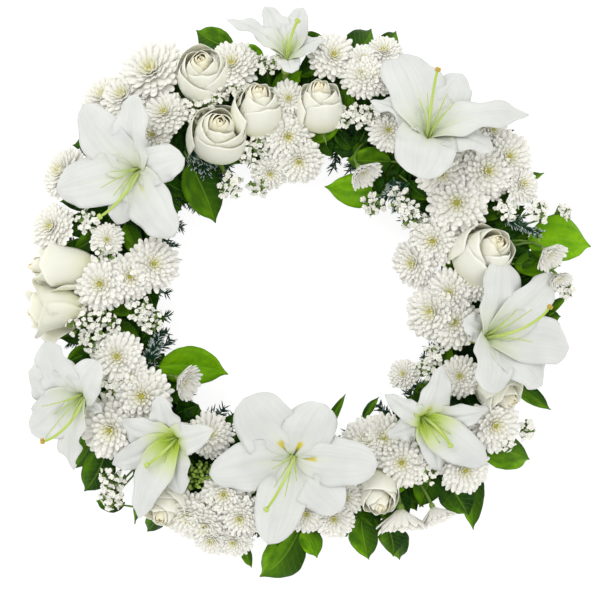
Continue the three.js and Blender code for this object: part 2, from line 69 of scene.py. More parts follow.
# ---- layout ----
# Lilies. at: the throat; lean: (azimuth, tilt) of the axis; depth: of the funnel, for its length;
# green and ochre: of the throat and of the knob, 0-1; pistil: (azimuth, reach mm, bow mm); leaves:
# (base, tip, width mm). A tepal is (azimuth, reach mm, width class, blunt 0-1, ruffle 0-1, nectary
# streak 0-1, if any) and, where it stands up by itself, its rise in degrees.
LILIES = [
    dict(at=(141, 220), lean=(200, 30), depth=0.26, green=0.2, ochre=0.2, pistil=(231, 66, 13), leaves=[],
         tepals=[(132, 92, "wide", 0.8, 0.5), (94, 80, "middle", 0.6, 0.7),
                 (14, 50, "middle", 0.9, 1.0, 0.5), (-64, 82, "wide", 0.8, 0.5, 0.4),
                 (-111, 64, "middle", 0.6, 0.6), (195, 94, "wide", 0.7, 0.5)]),
    dict(at=(93, 257), lean=(85, 50), depth=0.26, green=0.3, ochre=0.2, pistil=(74, 42, 0),
         leaves=[((90, 240), (83, 262), 12)],
         tepals=[(113, 64, "slim", 0.2, 0.3), (73, 62, "slim", 0.1, 0.3),
                 (30, 46, "middle", 0.2, 0.5), (138, 62, "slim", 0.1, 0.4),
                 (148, 78, "narrow", 0.2, 0.4), (-70, 16, "slim", 0.5, 0.2, 0.6, 60)]),
    dict(at=(51, 219), lean=(75, 40), depth=0.28, green=0.2, ochre=0.9, pistil=(82, 74, 4),
         leaves=[((45, 240), (45, 305), 15)],
         tepals=[(63, 82, "wide", 0.4, 0.6), (107, 100, "broad", 1.0, 0.4),
                 (147, 74, "narrow", 0.4, 1.0), (13, 113, "middle", 0.3, 0.7),
                 (-110, 44, "broad", 0.9, 0.4), (-7, 72, "middle", 0.5, 0.6)]),
    dict(at=(348, 203), lean=(15, 40), depth=0.28, green=0.2, ochre=1.0, pistil=(25, 76, -8),
         leaves=[((353, 236), (1, 295), 15), ((339, 246), (336, 301), 19)],
         tepals=[(76, 86, "wide", 1.0, 0.3), (39, 103, "middle", 0.5, 0.5),
                 (-5, 94, "wide", 0.9, 0.5), (-37, 82, "wide", 0.7, 0.5),
                 (-86, 60, "wide", 0.9, 0.3), (140, 28, "middle", 0.7, 0.4)]),
    dict(at=(316, 182), lean=(-45, 28), depth=0.34, green=1.0, ochre=0.1, pistil=(-45, 44, 4),
         leaves=[((298, 148), (309, 138), 9)],
         tepals=[(71, 58, "middle", 0.2, 0.3, 0.5), (8, 74, "slim", 0.1, 0.5),
                 (-39, 88, "middle", 0.4, 0.4, 0.4), (-74, 64, "slim", 0.3, 0.4),
                 (152, 46, "narrow", 0.3, 0.5, 0.5), (212, 42, "slim", 0.3, 0.5)]),
    dict(at=(268, 170), lean=(250, 14), depth=0.10, green=0.1, ochre=0.2, pistil=(243, 63, 3),
         leaves=[((280, 152), (296, 116), 11)],
         tepals=[(132, 82, "broad", 1.0, 0.25, 0.9), (190, 92, "wide", 0.7, 1.0),
                 (62, 66, "wide", 1.0, 0.4, 1.0), (-48, 78, "wide", 0.8, 0.5),
                 (-4, 90, "wide", 0.9, 0.25, 0.9), (-106, 99, "wide", 0.7, 0.3)]),
    dict(at=(229, 198), lean=(215, 32), depth=0.34, green=1.0, ochre=0.2, pistil=(222, 44, 3),
         leaves=[((233, 252), (234, 306), 14)],
         tepals=[(166, 64, "middle", 0.3, 0.4, 0.3), (112, 48, "middle", 0.5, 0.5),
                 (10, 40, "middle", 0.2, 0.4), (-85, 62, "middle", 0.4, 0.4, 0.4),
                 (-117, 98, "middle", 0.1, 0.5), (200, 78, "slim", 0.2, 0.5, 0.3)]),
    dict(at=(204, 251), lean=(215, 42), depth=0.32, green=0.2, ochre=1.0, pistil=(229, 68, 15), leaves=[],
         tepals=[(160, 66, "wide", 1.0, 0.4, 0.9), (130, 70, "wide", 0.9, 0.5),
                 (64, 38, "middle", 0.8, 0.3), (215, 76, "wide", 0.2, 0.5),
                 (-101, 84, "slim", 0.2, 0.9), (-50, 26, "narrow", 0.5, 0.3)]),
]
TEPAL_WIDTH = {"broad": 68, "wide": 57, "middle": 45, "slim": 37, "narrow": 30}

# Roses: place, head radius, lean (azimuth, tilt), lift over the dome, how long the head is for its
# width, and how far its outer petals flare.
ROSES = [
    ((113, 266), 31, (100, 30), 10, 1.08, 0.0), ((116, 199), 32, (75, 28), 12, 1.0, 0.06),
    ((102, 212), 27, (82, 46), 12, 1.22, 0.0), ((84, 213), 25, (88, 48), 12, 1.28, 0.0),
    ((172.8, 261), 22, (176, 80), 6, 1.9, 0.5), ((182.8, 266), 23, (186, 80), 6, 1.55, 0.8),
    ((14, 209), 33, (42, 42), 8, 1.10, 0.0), ((292, 231), 21, (280, 48), 10, 1.2, 0.1),
    ((335, 240), 23, (320, 60), 2, 1.2, 0.3), ((237, 266), 26, (250, 52), 4, 1.15, 0.2),
]

# Chrysanthemum sprays: each head is (degrees, mm, head radius) and, when it is turned away from the
# dome's own slope, the (azimuth, tilt) it faces.
CHRYSANTHEMUMS = [
    [(131, 290, 23), (134, 303, 26), (123, 293, 32), (126, 246, 22), (132, 236, 18)],
    [(164, 278, 22), (152, 290, 24)],
    [(173, 184, 22), (176, 214, 25), (163, 216, 15), (167, 162, 24)],
    [(205, 202, 19), (198, 206, 24), (212, 200, 27), (215, 247, 29), (214, 156, 21, (-30, 62))],
    [(249, 226, 21), (255, 245, 21), (237, 176, 21)],
    [(247, 265, 21), (243, 263, 23), (250, 277, 18), (255, 272, 17)],
    [(279, 240, 19), (283, 220, 18), (272, 232, 19)],
    [(295, 171, 22), (301, 176, 22), (302, 209, 24)],
    [(314, 257, 23), (327, 251, 25), (295.5, 255, 28, (266, 82)), (302.5, 270, 21, (288, 80))],
    [(334, 193, 19), (351, 170, 24), (354, 145, 26), (324, 140, 14)],
    [(2, 163, 22), (6, 191, 19), (23, 158, 23), (17, 130, 22)],
    [(41, 204, 23), (31, 199, 28), (44, 220, 16)],
    [(34, 244, 26), (34, 272, 24), (41, 251, 19), (41, 276, 17), (27, 270, 18)],
    [(11, 271, 20, (-40, 66)), (5, 280, 15, (-50, 60))],
    [(74, 249, 21), (71, 253, 19), (71, 282, 17), (75, 266, 15)],
    [(62, 205, 19), (65, 155, 20, (-50, 58))],
    [(106, 262, 24), (82, 264, 23), (93, 215, 17)],
    [(94, 175, 23), (90, 149, 22), (103, 139, 17)],
]

# Statice: each cluster is (degrees, mm, cluster radius), and "closed" marks one still in green bud.
STATICE = [
    [(113, 236, 11), (120, 233, 10), (98, 254, 9), (94, 258, 9), (106, 236, 9)],
    [(103, 175, 10), (108, 166, 11), (121, 142, 11), (109, 129, 10)],
    [(187, 210, 12), (192, 225, 12), (187, 236, 12), (206, 222, 11), (167, 214, 11),
     (160, 243, 10), (184, 172, 11), (188, 162, 11)],
    [(233, 218, 11), (224, 282, 11), (226, 292, 9), (227, 301, 10), (247, 243, 11), (256, 222, 11),
     (231, 186, 10), (239, 226, 11, "closed"), (241, 214, 9, "closed")],
    [(308, 207, 10), (308.5, 219, 10), (306, 232, 10), (325, 270, 9), (330, 286, 8), (331, 157, 9),
     (337, 158, 8)],
    [(35, 151, 11), (44, 152, 11), (51, 130, 10)],
    [(23, 244, 10), (20, 276, 10), (18, 303, 7), (2, 289, 8)],
    [(72, 206, 10), (77, 201, 10), (67, 215, 10)],
]

# Leaves: (base, tip, width mm, brightness 0-1); brightness is painted light and shade, low for a leaf in
# shade and high for a lit one.
SALAL = [
    [((99, 256), (103, 282), 20, 0.7), ((105, 280), (111, 314), 32, 0.3),
     ((97, 221), (89, 246), 24, 0.6)],
    [((80, 258), (75, 305), 40, 0.3), ((73, 275), (70, 311), 24, 0.3),
     ((76, 210), (77, 236), 20, 0.4), ((88, 173), (76, 193), 24, 0.4),
     ((84, 268), (89, 289), 20, 0.15)],
    [((56, 178), (71, 158), 30, 0.35), ((51, 152), (77, 124), 38, 0.8),
     ((57, 164), (56, 128), 26, 0.15), ((47, 172), (37, 177), 18, 0.15)],
    [((9, 236), (7, 286), 28, 0.5), ((14, 255), (10, 324), 50, 0.9),
     ((355, 258), (356, 285), 18, 0.25)],
    [((320, 256), (325, 308), 38, 0.4), ((330, 190), (343, 172), 14, 0.5)],
    [((310, 236), (300, 262), 34, 0.3), ((309, 252), (308, 300), 38, 0.15),
     ((286, 244), (285, 294), 32, 0.35), ((291, 257), (290, 300), 28, 0.2),
     ((294, 274), (291, 307), 22, 0.3), ((316, 268), (307, 317), 25, 0.35),
     ((294, 215), (299, 237), 22, 0.8)],
    [((270, 251), (262, 308), 44, 0.4), ((271, 251), (274, 283), 24, 0.55),
     ((257, 272), (260, 298), 12, 0.35)],
    [((218, 264), (222, 316), 36, 0.2), ((212, 258), (217, 309), 34, 0.3),
     ((230, 295), (225, 314), 18, 0.35), ((237, 276), (237, 304), 20, 0.2)],
    [((206, 169), (227, 113), 42, 0.85), ((188, 201), (194, 177), 22, 0.35),
     ((181, 204), (185, 178), 24, 0.3)],
    [((129, 188), (138, 122), 42, 0.3), ((157, 204), (166, 177), 22, 0.4),
     ((162, 226), (168, 249), 22, 0.2)],
]
RUSCUS = [
    [((38, 255), (38, 297), 15, 0.25), ((30, 262), (27, 300), 13, 0.35)],
    [((16, 182), (8, 157), 13, 0.35), ((20, 178), (26, 150), 12, 0.25)],
]
FIR = [((127, 205), (122, 172)), ((208, 222), (200, 184))]

# Frosted fir tips (base, tip) and leaves that fill between the flowers, painted dark as painted shade; they
# have no node.
TUFTS = [
    ((46, 172), (50, 138)), ((52, 166), (42, 142)), ((22, 238), (15, 268)),
    ((243, 196), (238, 168)), ((127, 198), (118, 182)), ((203, 176), (196, 158)),
]
UNDER_LEAVES = [
    ((118, 252), (121, 290), 30, 0.2), ((122, 262), (115, 292), 24, 0.1),
    ((124, 226), (117, 250), 26, 0.25), ((140, 262), (146, 298), 30, 0.1),
    ((97, 232), (92, 256), 26, 0.35), ((152, 244), (158, 280), 26, 0.15),
    ((176, 232), (170, 262), 26, 0.2), ((246, 212), (240, 240), 26, 0.15),
    ((285, 196), (279, 224), 24, 0.15), ((318, 220), (322, 252), 26, 0.2),
    ((345, 238), (350, 268), 24, 0.2), ((28, 214), (22, 240), 26, 0.25),
]


# ---- small maths ----
def chance(offset):
    """The seeded random numbers of one piece or pattern."""
    return np.random.default_rng(SEED + offset)


def steps(count):
    return np.linspace(0, 1, count)


def sides(count):
    return np.linspace(-1, 1, count)


def polar(place, height=0.0):
    """A point in the frame, in metres, from (degrees, mm) and a height in mm."""
    return RING_CENTRE + (heading(place[0]) * place[1] + UP * height) * MM


def ring_spot(angle, radius, height):
    """A point in the frame from an angle in radians, and a radius and height in metres."""
    return RING_CENTRE + np.array([math.cos(angle) * radius, math.sin(angle) * radius, height])


def heading(azimuth):
    angle = math.radians(azimuth)
    return np.array([math.cos(angle), math.sin(angle), 0.0])


def leaning(azimuth, tilt):
    slope = math.radians(tilt)
    return heading(azimuth) * math.sin(slope) + UP * math.cos(slope)


def unit(vector):
    return vector / np.linalg.norm(vector, axis=-1, keepdims=True)


def crown_share(radius):
    """How far out a radius lies on the dome of flowers: -1 inside, 0 on its ridge, 1 outside."""
    return min(1.0, max(-1.0, (radius - CROWN_RADIUS) / CROWN_REACH))


def crown_height(radius):
    return CROWN_FOOT + CROWN_RISE * math.sqrt(1 - crown_share(radius) ** 2)


def crown_facing(place):
    return leaning(place[0], math.degrees(math.asin(crown_share(place[1])) * CROWN_TILT))


def smooth(value):
    clipped = np.clip(value, 0, 1)
    return clipped * clipped * (3 - 2 * clipped)


def bezier(controls, share):
    """Points of a Bezier curve at each share along it."""
    points = [np.asarray(c)[None, :] for c in controls]
    share = np.asarray(share)[:, None]
    while len(points) > 1:
        points = [a * (1 - share) + b * share for a, b in zip(points, points[1:])]
    return points[0]


def basis(axis, spin=0.0):
    """Rows x, y, z of a frame whose z is the axis, turned by spin about it."""
    side = np.cross(axis, UP) if abs(axis[2]) < 0.999 else np.array([1.0, 0.0, 0.0])
    x = unit(side)
    y = np.cross(axis, x)
    turned = x * math.cos(spin) + y * math.sin(spin)
    return np.array([turned, np.cross(axis, turned), axis])


def around(turned, angle):
    """The direction at an angle about the axis of a basis."""
    return turned[0] * math.cos(angle) + turned[1] * math.sin(angle)


# ---- mesh building ----
def sheet(spine, side, aside, face, lift):
    """A grid of points about a spine: aside along its side vector and lift along its face vector."""
    return spine[:, None] + side * aside[..., None] + face[:, None] * lift[..., None]


def sheet_marks(along, columns, tone):
    """The marks of both faces of a sheet: (along, across, tone) for each point."""
    across = sides(columns)
    marks = np.stack(np.broadcast_arrays(along[:, None], across[None, :], float(tone)), -1).reshape(-1, 3)
    return np.concatenate([marks, marks])


def gathered(parts):
    """Parts, each (points, faces, marks), as one."""
    starts = np.cumsum([0] + [len(part[0]) for part in parts])
    faces = [part[1] + start for part, start in zip(parts, starts)]
    return (np.concatenate([part[0] for part in parts]), np.concatenate(faces),
            np.concatenate([part[2] for part in parts]))


def grid_quads(rows, columns):
    index = np.arange(rows * columns).reshape(rows, columns)
    return np.stack([index[:-1, :-1], index[1:, :-1], index[1:, 1:], index[:-1, 1:]], -1).reshape(-1, 4)


def rim_quads(rows, columns):
    """Quads that close the edge between a sheet and its copy behind it."""
    index = np.arange(rows * columns).reshape(rows, columns)
    loop = np.concatenate([index[:-1, 0], index[-1, :-1], index[:0:-1, -1], index[0, :0:-1]])
    after = np.roll(loop, -1)
    back = rows * columns
    return np.stack([after, loop, loop + back, after + back], -1)


def shell(grid, thickness):
    """Closed skin of a sheet of points (..., rows, columns, 3): its face, its back and the rim."""
    along = np.gradient(grid, axis=-3)
    across = np.gradient(grid, axis=-2)
    normal = np.cross(along, across)
    normal /= np.maximum(np.linalg.norm(normal, axis=-1, keepdims=True), 1e-12)
    rows, columns = grid.shape[-3:-1]
    size = rows * columns
    points = np.stack([grid, grid - normal * thickness], -4)
    front = grid_quads(rows, columns)
    faces = np.concatenate([front, front[:, ::-1] + size, rim_quads(rows, columns)])
    return points.reshape(grid.shape[:-3] + (2 * size, 3)), faces


def tube(path, radius, edges=6):
    """Closed round rod along a path of points; radius is a number or one for each point."""
    path = np.asarray(path)
    count = len(path)
    radius = np.broadcast_to(radius, count)
    run = unit(np.gradient(path, axis=0))
    side = np.cross(run, UP)
    weak = np.linalg.norm(side, axis=1) < 0.05
    side[weak] = np.cross(run[weak], np.array([1.0, 0.3, 0.0]))
    side = unit(side)
    other = np.cross(run, side)
    angle = np.linspace(0, TURN, edges, endpoint=False)
    ring = side[:, None] * np.cos(angle)[None, :, None] + other[:, None] * np.sin(angle)[None, :, None]
    points = (path[:, None] + ring * radius[:, None, None]).reshape(-1, 3)
    index = np.arange(count * edges).reshape(count, edges)
    turned = np.roll(index, -1, axis=1)
    faces = np.stack([index[:-1], turned[:-1], turned[1:], index[1:]], -1).reshape(-1, 4)
    caps = []
    for start, order in ((0, -1), ((count - 1) * edges, 1)):
        for corner in range(1, edges - 2, 2):
            cap = [start, start + corner, start + corner + 1, start + corner + 2]
            caps.append(cap[::order])
    return points, np.concatenate([faces, np.array(caps)])


def numbered(name, index):
    return f"{name}_{index + 1:02d}"


class Plant:
    """Collects the parts of one cut stem, then makes them one mesh with several materials."""

    def __init__(self, name, index, slot):
        self.name = numbered(name, index)
        self.index = index
        self.slot = slot
        self.looks = []
        self.parts = []
        self.painted = []

    def add(self, points, faces, look, marks):
        """marks is (along, across, tone) for each point: what the materials paint by."""
        if look not in self.looks:
            self.looks.append(look)
        self.parts.append((points, faces, marks))
        self.painted.append(np.full(len(faces), self.looks.index(look)))

    def add_sheet(self, grid, thickness, look, tone):
        rows, columns = grid.shape[:2]
        points, faces = shell(grid, thickness)
        self.add(points, faces, look, sheet_marks(steps(rows), columns, tone))

    def add_tube(self, path, radius, look, tone, edges=6):
        points, faces = tube(path, radius, edges)
        along = np.repeat(steps(len(path)), edges)
        self.add(points, faces, look, np.stack([along, 0 * along, np.full_like(along, tone)], -1))

    def add_rod(self, controls, radii, look, tone, edges=6):
        """A tube along a Bezier curve, with its radius given at even steps."""
        self.add_tube(bezier(controls, steps(len(radii))), radii, look, tone, edges)

    def finish(self, *nodes):
        points, faces, marks = gathered(self.parts)
        mesh = bpy.data.meshes.new(self.name)
        mesh.vertices.add(len(points))
        mesh.vertices.foreach_set("co", points.astype(np.float32).ravel())
        mesh.loops.add(faces.size)
        mesh.loops.foreach_set("vertex_index", faces.astype(np.int32).ravel())
        mesh.polygons.add(len(faces))
        mesh.polygons.foreach_set("loop_start", np.arange(0, faces.size, 4, dtype=np.int32))
        mesh.polygons.foreach_set("material_index", np.concatenate(self.painted).astype(np.int32))
        mesh.update(calc_edges=True)
        mesh.validate()
        mesh.polygons.foreach_set("use_smooth", np.ones(len(mesh.polygons), bool))
        paint = mesh.attributes.new("paint", "FLOAT_VECTOR", "POINT")
        paint.data.foreach_set("vector", marks.astype(np.float32).ravel())
        for look in self.looks:
            mesh.materials.append(LOOK[look])
        piece = bpy.data.objects.new(self.name, mesh)
        bpy.context.scene.collection.objects.link(piece)
        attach(piece, "root")
        if nodes:
            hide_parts(*nodes)


# ---- materials ----
NOISE_APART = 37.0
FLESH_SCATTER = (1.0, 0.95, 0.8)


class Nodes:
    """A short way to wire one node material."""

    def __init__(self, name):
        self.material = bpy.data.materials.new(name)
        self.material.use_nodes = True
        self.tree = self.material.node_tree
        self.shader = self.tree.nodes["Principled BSDF"]
        mark = self.tree.nodes.new("ShaderNodeAttribute")
        mark.attribute_name = "paint"
        split = self.tree.nodes.new("ShaderNodeSeparateXYZ")
        self.join(mark.outputs["Vector"], split.inputs[0])
        self.along, self.across, self.tone = split.outputs

    def join(self, out, socket):
        self.tree.links.new(out, socket)

    def put(self, socket, value):
        if isinstance(value, bpy.types.NodeSocket):
            self.join(value, socket)
        else:
            socket.default_value = value

    def math(self, operation, a, b=0.0):
        node = self.tree.nodes.new("ShaderNodeMath")
        node.operation = operation
        for socket, value in zip(node.inputs, (a, b)):
            self.put(socket, value)
        return node.outputs[0]

    def times(self, a, b):
        return self.math("MULTIPLY", a, b)

    def mix(self, share, a, b):
        node = self.tree.nodes.new("ShaderNodeMix")
        node.data_type = "RGBA"
        self.put(node.inputs["Factor"], share)
        self.put(node.inputs["A"], a if isinstance(a, bpy.types.NodeSocket) else (*a, 1))
        self.put(node.inputs["B"], b if isinstance(b, bpy.types.NodeSocket) else (*b, 1))
        return node.outputs["Result"]

    def span(self, value, low, high, to_low=0.0, to_high=1.0):
        """A soft step from to_low, where value is low, to to_high, where it is high."""
        node = self.tree.nodes.new("ShaderNodeMapRange")
        node.interpolation_type = "SMOOTHSTEP"
        self.put(node.inputs["Value"], value)
        limits = {"From Min": low, "From Max": high, "To Min": to_low, "To Max": to_high}
        for name, number in limits.items():
            node.inputs[name].default_value = number
        return node.outputs["Result"]

    def fall(self, value, low, high, top=1.0):
        return self.span(value, low, high, top, 0.0)

    def noise(self, scale, detail, stretch=None):
        """Noise over the object, or over the painted marks when stretch is given."""
        node = self.tree.nodes.new("ShaderNodeTexNoise")
        node.inputs["Scale"].default_value = scale
        node.inputs["Detail"].default_value = detail
        if stretch is None:
            coord = self.tree.nodes.new("ShaderNodeTexCoord")
            self.join(coord.outputs["Object"], node.inputs["Vector"])
        else:
            join = self.tree.nodes.new("ShaderNodeCombineXYZ")
            scales = (*stretch, NOISE_APART)
            for mark, times, socket in zip((self.along, self.across, self.tone), scales, join.inputs):
                self.join(self.times(mark, times), socket)
            self.join(join.outputs[0], node.inputs["Vector"])
        return node.outputs["Fac"]

    def bump(self, height, strength, distance):
        node = self.tree.nodes.new("ShaderNodeBump")
        node.inputs["Strength"].default_value = strength
        node.inputs["Distance"].default_value = distance
        self.join(height, node.inputs["Height"])
        self.join(node.outputs[0], self.shader.inputs["Normal"])

    def finish(self, colour, roughness, specular, subsurface=0.0, depth=0.002):
        self.put(self.shader.inputs["Base Color"], colour)
        self.put(self.shader.inputs["Roughness"], roughness)
        self.shader.inputs["Specular IOR Level"].default_value = specular
        if subsurface:
            self.shader.inputs["Subsurface Weight"].default_value = subsurface
            self.shader.inputs["Subsurface Radius"].default_value = FLESH_SCATTER
            self.shader.inputs["Subsurface Scale"].default_value = depth
        return self.material


PETAL_WHITE = (0.70, 0.71, 0.68)
PETAL_SHADE = (0.56, 0.575, 0.55)
THROAT_GREEN = (0.50, 0.62, 0.12)


def lily_petal_material():
    """Waxy white with long veins; tone's tenths are the throat's green, and the rest is the streak."""
    n = Nodes("lily_tepal")
    green = n.math("FLOOR", n.times(n.tone, 10.0))
    green = n.math("DIVIDE", green, 10.0)
    streak = n.times(n.math("SUBTRACT", n.tone, green), 10.0)
    veins = n.noise(1.0, 3.0, stretch=(1.0, 8.0))
    cloud = n.noise(26.0, 2.0)
    white = n.mix(n.span(veins, 0.3, 0.8, 0.0, 0.40), PETAL_WHITE, PETAL_SHADE)
    white = n.mix(n.span(cloud, 0.35, 0.75, 0.0, 0.5), white, PETAL_SHADE)
    middle = n.math("ABSOLUTE", n.across)
    groove = n.times(n.fall(middle, 0.0, 0.12), n.fall(n.along, 0.2, 0.75, 0.40))
    white = n.mix(groove, white, (0.66, 0.74, 0.46))
    throat = n.times(n.fall(n.along, 0.14, 0.54), green)
    deep = n.fall(n.along, 0.05, 0.21, 0.9)
    throat = n.math("MAXIMUM", throat, deep)
    colour = n.mix(throat, white, THROAT_GREEN)
    core = n.times(n.fall(n.along, 0.10, 0.34, 0.8), green)
    colour = n.mix(core, colour, (0.34, 0.47, 0.03))
    slit = n.times(n.fall(middle, 0.0, 0.25), n.fall(n.along, 0.08, 0.26, 0.85))
    colour = n.mix(slit, colour, (0.08, 0.14, 0.01))
    mark = n.times(n.fall(middle, 0.08, 0.19), n.fall(n.along, 0.36, 0.43))
    mark = n.times(n.times(mark, n.span(n.along, 0.08, 0.14)), streak)
    ochre = n.mix(n.span(n.along, 0.20, 0.34), (0.16, 0.17, 0.008), (0.62, 0.52, 0.02))
    colour = n.mix(mark, colour, ochre)
    n.bump(veins, 0.10, 0.0010)
    return n.finish(colour, 0.5, 0.15, subsurface=0.25, depth=0.0015)


def rose_petal_material():
    """Ivory, creamier in the heart; petal bases are darker and yellower, partly their own cream and partly
    painted shade deep in the flower; tone is 0 in the heart and 1 outside.
    """
    n = Nodes("rose_petal")
    veins = n.noise(1.0, 4.0, stretch=(2.0, 11.0))
    ivory = n.mix(n.span(n.tone, 0.0, 0.75), (0.91, 0.82, 0.54), (0.845, 0.84, 0.70))
    # Petal bases darker and yellower: partly the petals' own cream, partly painted shade deep in the
    # flower.
    base = n.mix(n.fall(n.along, 0.1, 0.7, 0.9), ivory, (0.70, 0.70, 0.36))
    colour = n.mix(n.span(veins, 0.3, 0.8, 0.0, 0.3), base, (0.83, 0.82, 0.68))
    edge = n.times(n.span(n.along, 0.88, 1.0), n.span(n.tone, 0.2, 0.8))
    colour = n.mix(n.times(edge, 0.45), colour, (0.89, 0.89, 0.83))
    n.bump(veins, 0.12, 0.0008)
    return n.finish(colour, 0.6, 0.2, subsurface=0.4, depth=0.002)


def mum_ray_material():
    """White ray florets with fine streaks along them; tone is 0 at the eye and 1 outside."""
    n = Nodes("chrysanthemum_ray")
    veins = n.noise(1.0, 3.0, stretch=(1.2, 4.0))
    white = n.mix(n.span(veins, 0.3, 0.8), (0.90, 0.89, 0.83), (0.85, 0.835, 0.765))
    cream = n.fall(n.tone, 0.0, 0.35, 0.6)
    colour = n.mix(cream, white, (0.86, 0.84, 0.50))
    foot = n.fall(n.along, 0.0, 0.45, 0.35)
    colour = n.mix(foot, colour, (0.80, 0.80, 0.55))
    n.bump(veins, 0.2, 0.0005)
    return n.finish(colour, 0.65, 0.1, subsurface=0.1, depth=0.001)


def mum_eye_material():
    """Green and yellow buds."""
    n = Nodes("chrysanthemum_eye")
    grains = n.noise(900.0, 2.0)
    colour = n.mix(n.span(grains, 0.35, 0.7), (0.52, 0.52, 0.08), (0.80, 0.74, 0.26))
    n.bump(grains, 0.4, 0.0005)
    return n.finish(colour, 0.7, 0.2)


def statice_material():
    """Dry papery florets, whiter to the rim."""
    n = Nodes("statice_floret")
    crinkle = n.noise(1500.0, 2.0)
    white = n.mix(n.span(crinkle, 0.3, 0.7), (0.93, 0.92, 0.85), (0.84, 0.83, 0.75))
    colour = n.mix(n.fall(n.along, 0.0, 0.30, 0.5), white, (0.88, 0.88, 0.74))
    n.bump(crinkle, 0.4, 0.0004)
    return n.finish(colour, 0.75, 0.1)


def stem_material():
    """Green stem and sepals: tone runs from dark to pale yellow-green."""
    n = Nodes("green_stem")
    fibres = n.noise(1.0, 4.0, stretch=(5.0, 3.0))
    mottled = n.noise(420.0, 3.0)
    green = n.mix(n.tone, (0.035, 0.11, 0.012), (0.42, 0.58, 0.10))
    colour = n.mix(n.span(mottled, 0.35, 0.7, 0.0, 0.4), green, (0.10, 0.20, 0.03))
    n.bump(fibres, 0.4, 0.0004)
    return n.finish(colour, 0.45, 0.3)


def pistil_material():
    """Pale yellow-green, glossy; the knob at the end is tone 1 and turns ochre."""
    n = Nodes("lily_pistil")
    fine = n.noise(700.0, 2.0)
    green = n.mix(n.span(n.along, 0.0, 1.0), (0.58, 0.68, 0.26), (0.38, 0.54, 0.06))
    colour = n.mix(n.span(n.tone, 0.4, 0.95), green, (0.50, 0.30, 0.03))
    colour = n.mix(n.span(fine, 0.4, 0.8, 0.0, 0.3), colour, (0.62, 0.66, 0.20))
    n.bump(fine, 0.25, 0.0003)
    return n.finish(colour, 0.35, 0.4, subsurface=0.15)


def leaf_material(name, side_veins, gloss):
    """Leathery leaf with a pale midrib and side veins; tone is the leaf's painted light and shade, from
    near-black green for a leaf in shade to bright green for a lit one.
    """
    n = Nodes(name)
    middle = n.math("ABSOLUTE", n.across)
    drift = n.noise(1.0, 2.0, stretch=(3.0, 2.0))
    slant = n.math("SUBTRACT", n.times(n.along, side_veins), n.times(middle, 1.6))
    slant = n.math("ADD", slant, n.times(drift, 0.5))
    stripe = n.math("ABSOLUTE", n.math("SUBTRACT", n.math("FRACT", slant), 0.5))
    vein = n.span(stripe, 0.40, 0.5)
    rib = n.fall(middle, 0.0, 0.07)
    # Painted shade and painted light: a near-black green for shaded leaves and a bright green for lit ones.
    dark = n.mix(n.span(drift, 0.3, 0.7), (0.003, 0.020, 0.001), (0.012, 0.060, 0.001))
    bright = n.mix(n.span(drift, 0.3, 0.7), (0.11, 0.30, 0.001), (0.21, 0.46, 0.003))
    # Painted light and shade: the leaf's tone, one half of the leaf painted lighter than the other, and the
    # tip painted lighter than the stalk end.
    side = n.times(n.across, n.math("SUBTRACT", drift, 0.10))
    painted_light = n.math("ADD", n.tone, n.times(side, 0.50))
    painted_light = n.math("ADD", painted_light, n.span(n.along, 0.0, 1.0, -0.08, 0.10))
    colour = n.mix(n.span(painted_light, 0.05, 0.95), dark, bright)
    spots = n.noise(160.0, 4.0)
    colour = n.mix(n.span(spots, 0.45, 0.8, 0.0, 0.35), colour, (0.04, 0.13, 0.001))
    lines = n.math("MAXIMUM", n.times(vein, 0.11), n.times(rib, 0.38))
    colour = n.mix(lines, colour, (0.24, 0.46, 0.03))
    height = n.math("SUBTRACT", n.times(spots, 0.3), n.math("MAXIMUM", vein, rib))
    n.bump(height, 0.45, 0.0007)
    return n.finish(colour, gloss, 0.06)


def fir_material():
    """Blue-green needles, frosted white at the tips."""
    n = Nodes("fir_needle")
    grain = n.noise(500.0, 2.0)
    green = n.mix(n.span(grain, 0.3, 0.7), (0.006, 0.035, 0.018), (0.014, 0.07, 0.036))
    frost = n.times(n.span(n.along, 0.55, 1.0), n.tone)
    colour = n.mix(frost, green, (0.62, 0.70, 0.68))
    n.bump(grain, 0.3, 0.0003)
    return n.finish(colour, 0.6, 0.12)


def foam_material():
    """Wet floral foam: fine open cells, dark where it is soaked."""
    n = Nodes("wet_foam")
    cells = n.noise(900.0, 5.0)
    damp = n.noise(22.0, 3.0)
    green = n.mix(n.span(damp, 0.35, 0.7), (0.030, 0.085, 0.022), (0.018, 0.050, 0.016))
    colour = n.mix(n.span(cells, 0.35, 0.65), (0.008, 0.022, 0.008), green)
    n.bump(cells, 0.9, 0.0016)
    return n.finish(colour, 0.95, 0.1)


def tray_material():
    """Moulded dark green plastic with a faint orange peel."""
    n = Nodes("tray_plastic")
    peel = n.noise(240.0, 3.0)
    scuffs = n.noise(30.0, 5.0)
    colour = n.mix(n.span(scuffs, 0.45, 0.75), (0.012, 0.035, 0.018), (0.022, 0.055, 0.030))
    n.bump(peel, 0.25, 0.0004)
    return n.finish(colour, n.span(scuffs, 0.3, 0.8, 0.38, 0.62), 0.4)


LOOK = {
    "tepal": lily_petal_material(),
    "rose": rose_petal_material(),
    "ray": mum_ray_material(),
    "eye": mum_eye_material(),
    "statice": statice_material(),
    "stem": stem_material(),
    "pistil": pistil_material(),
    "salal": leaf_material("salal_leaf", 9.0, 0.36),
    "ruscus": leaf_material("ruscus_leaf", 3.0, 0.42),
    "fir": fir_material(),
}

# ---- stems ----
FOAM_MARGIN_INNER = 0.014
FOAM_MARGIN_OUTER = 0.012
STEM_DEPTH = 0.012
LILY_STEM = 0.0036
ROSE_STEM = 0.0030
MUM_STEM = 0.0016
STATICE_STEM = 0.0011
LEAF_STEM = 0.0012


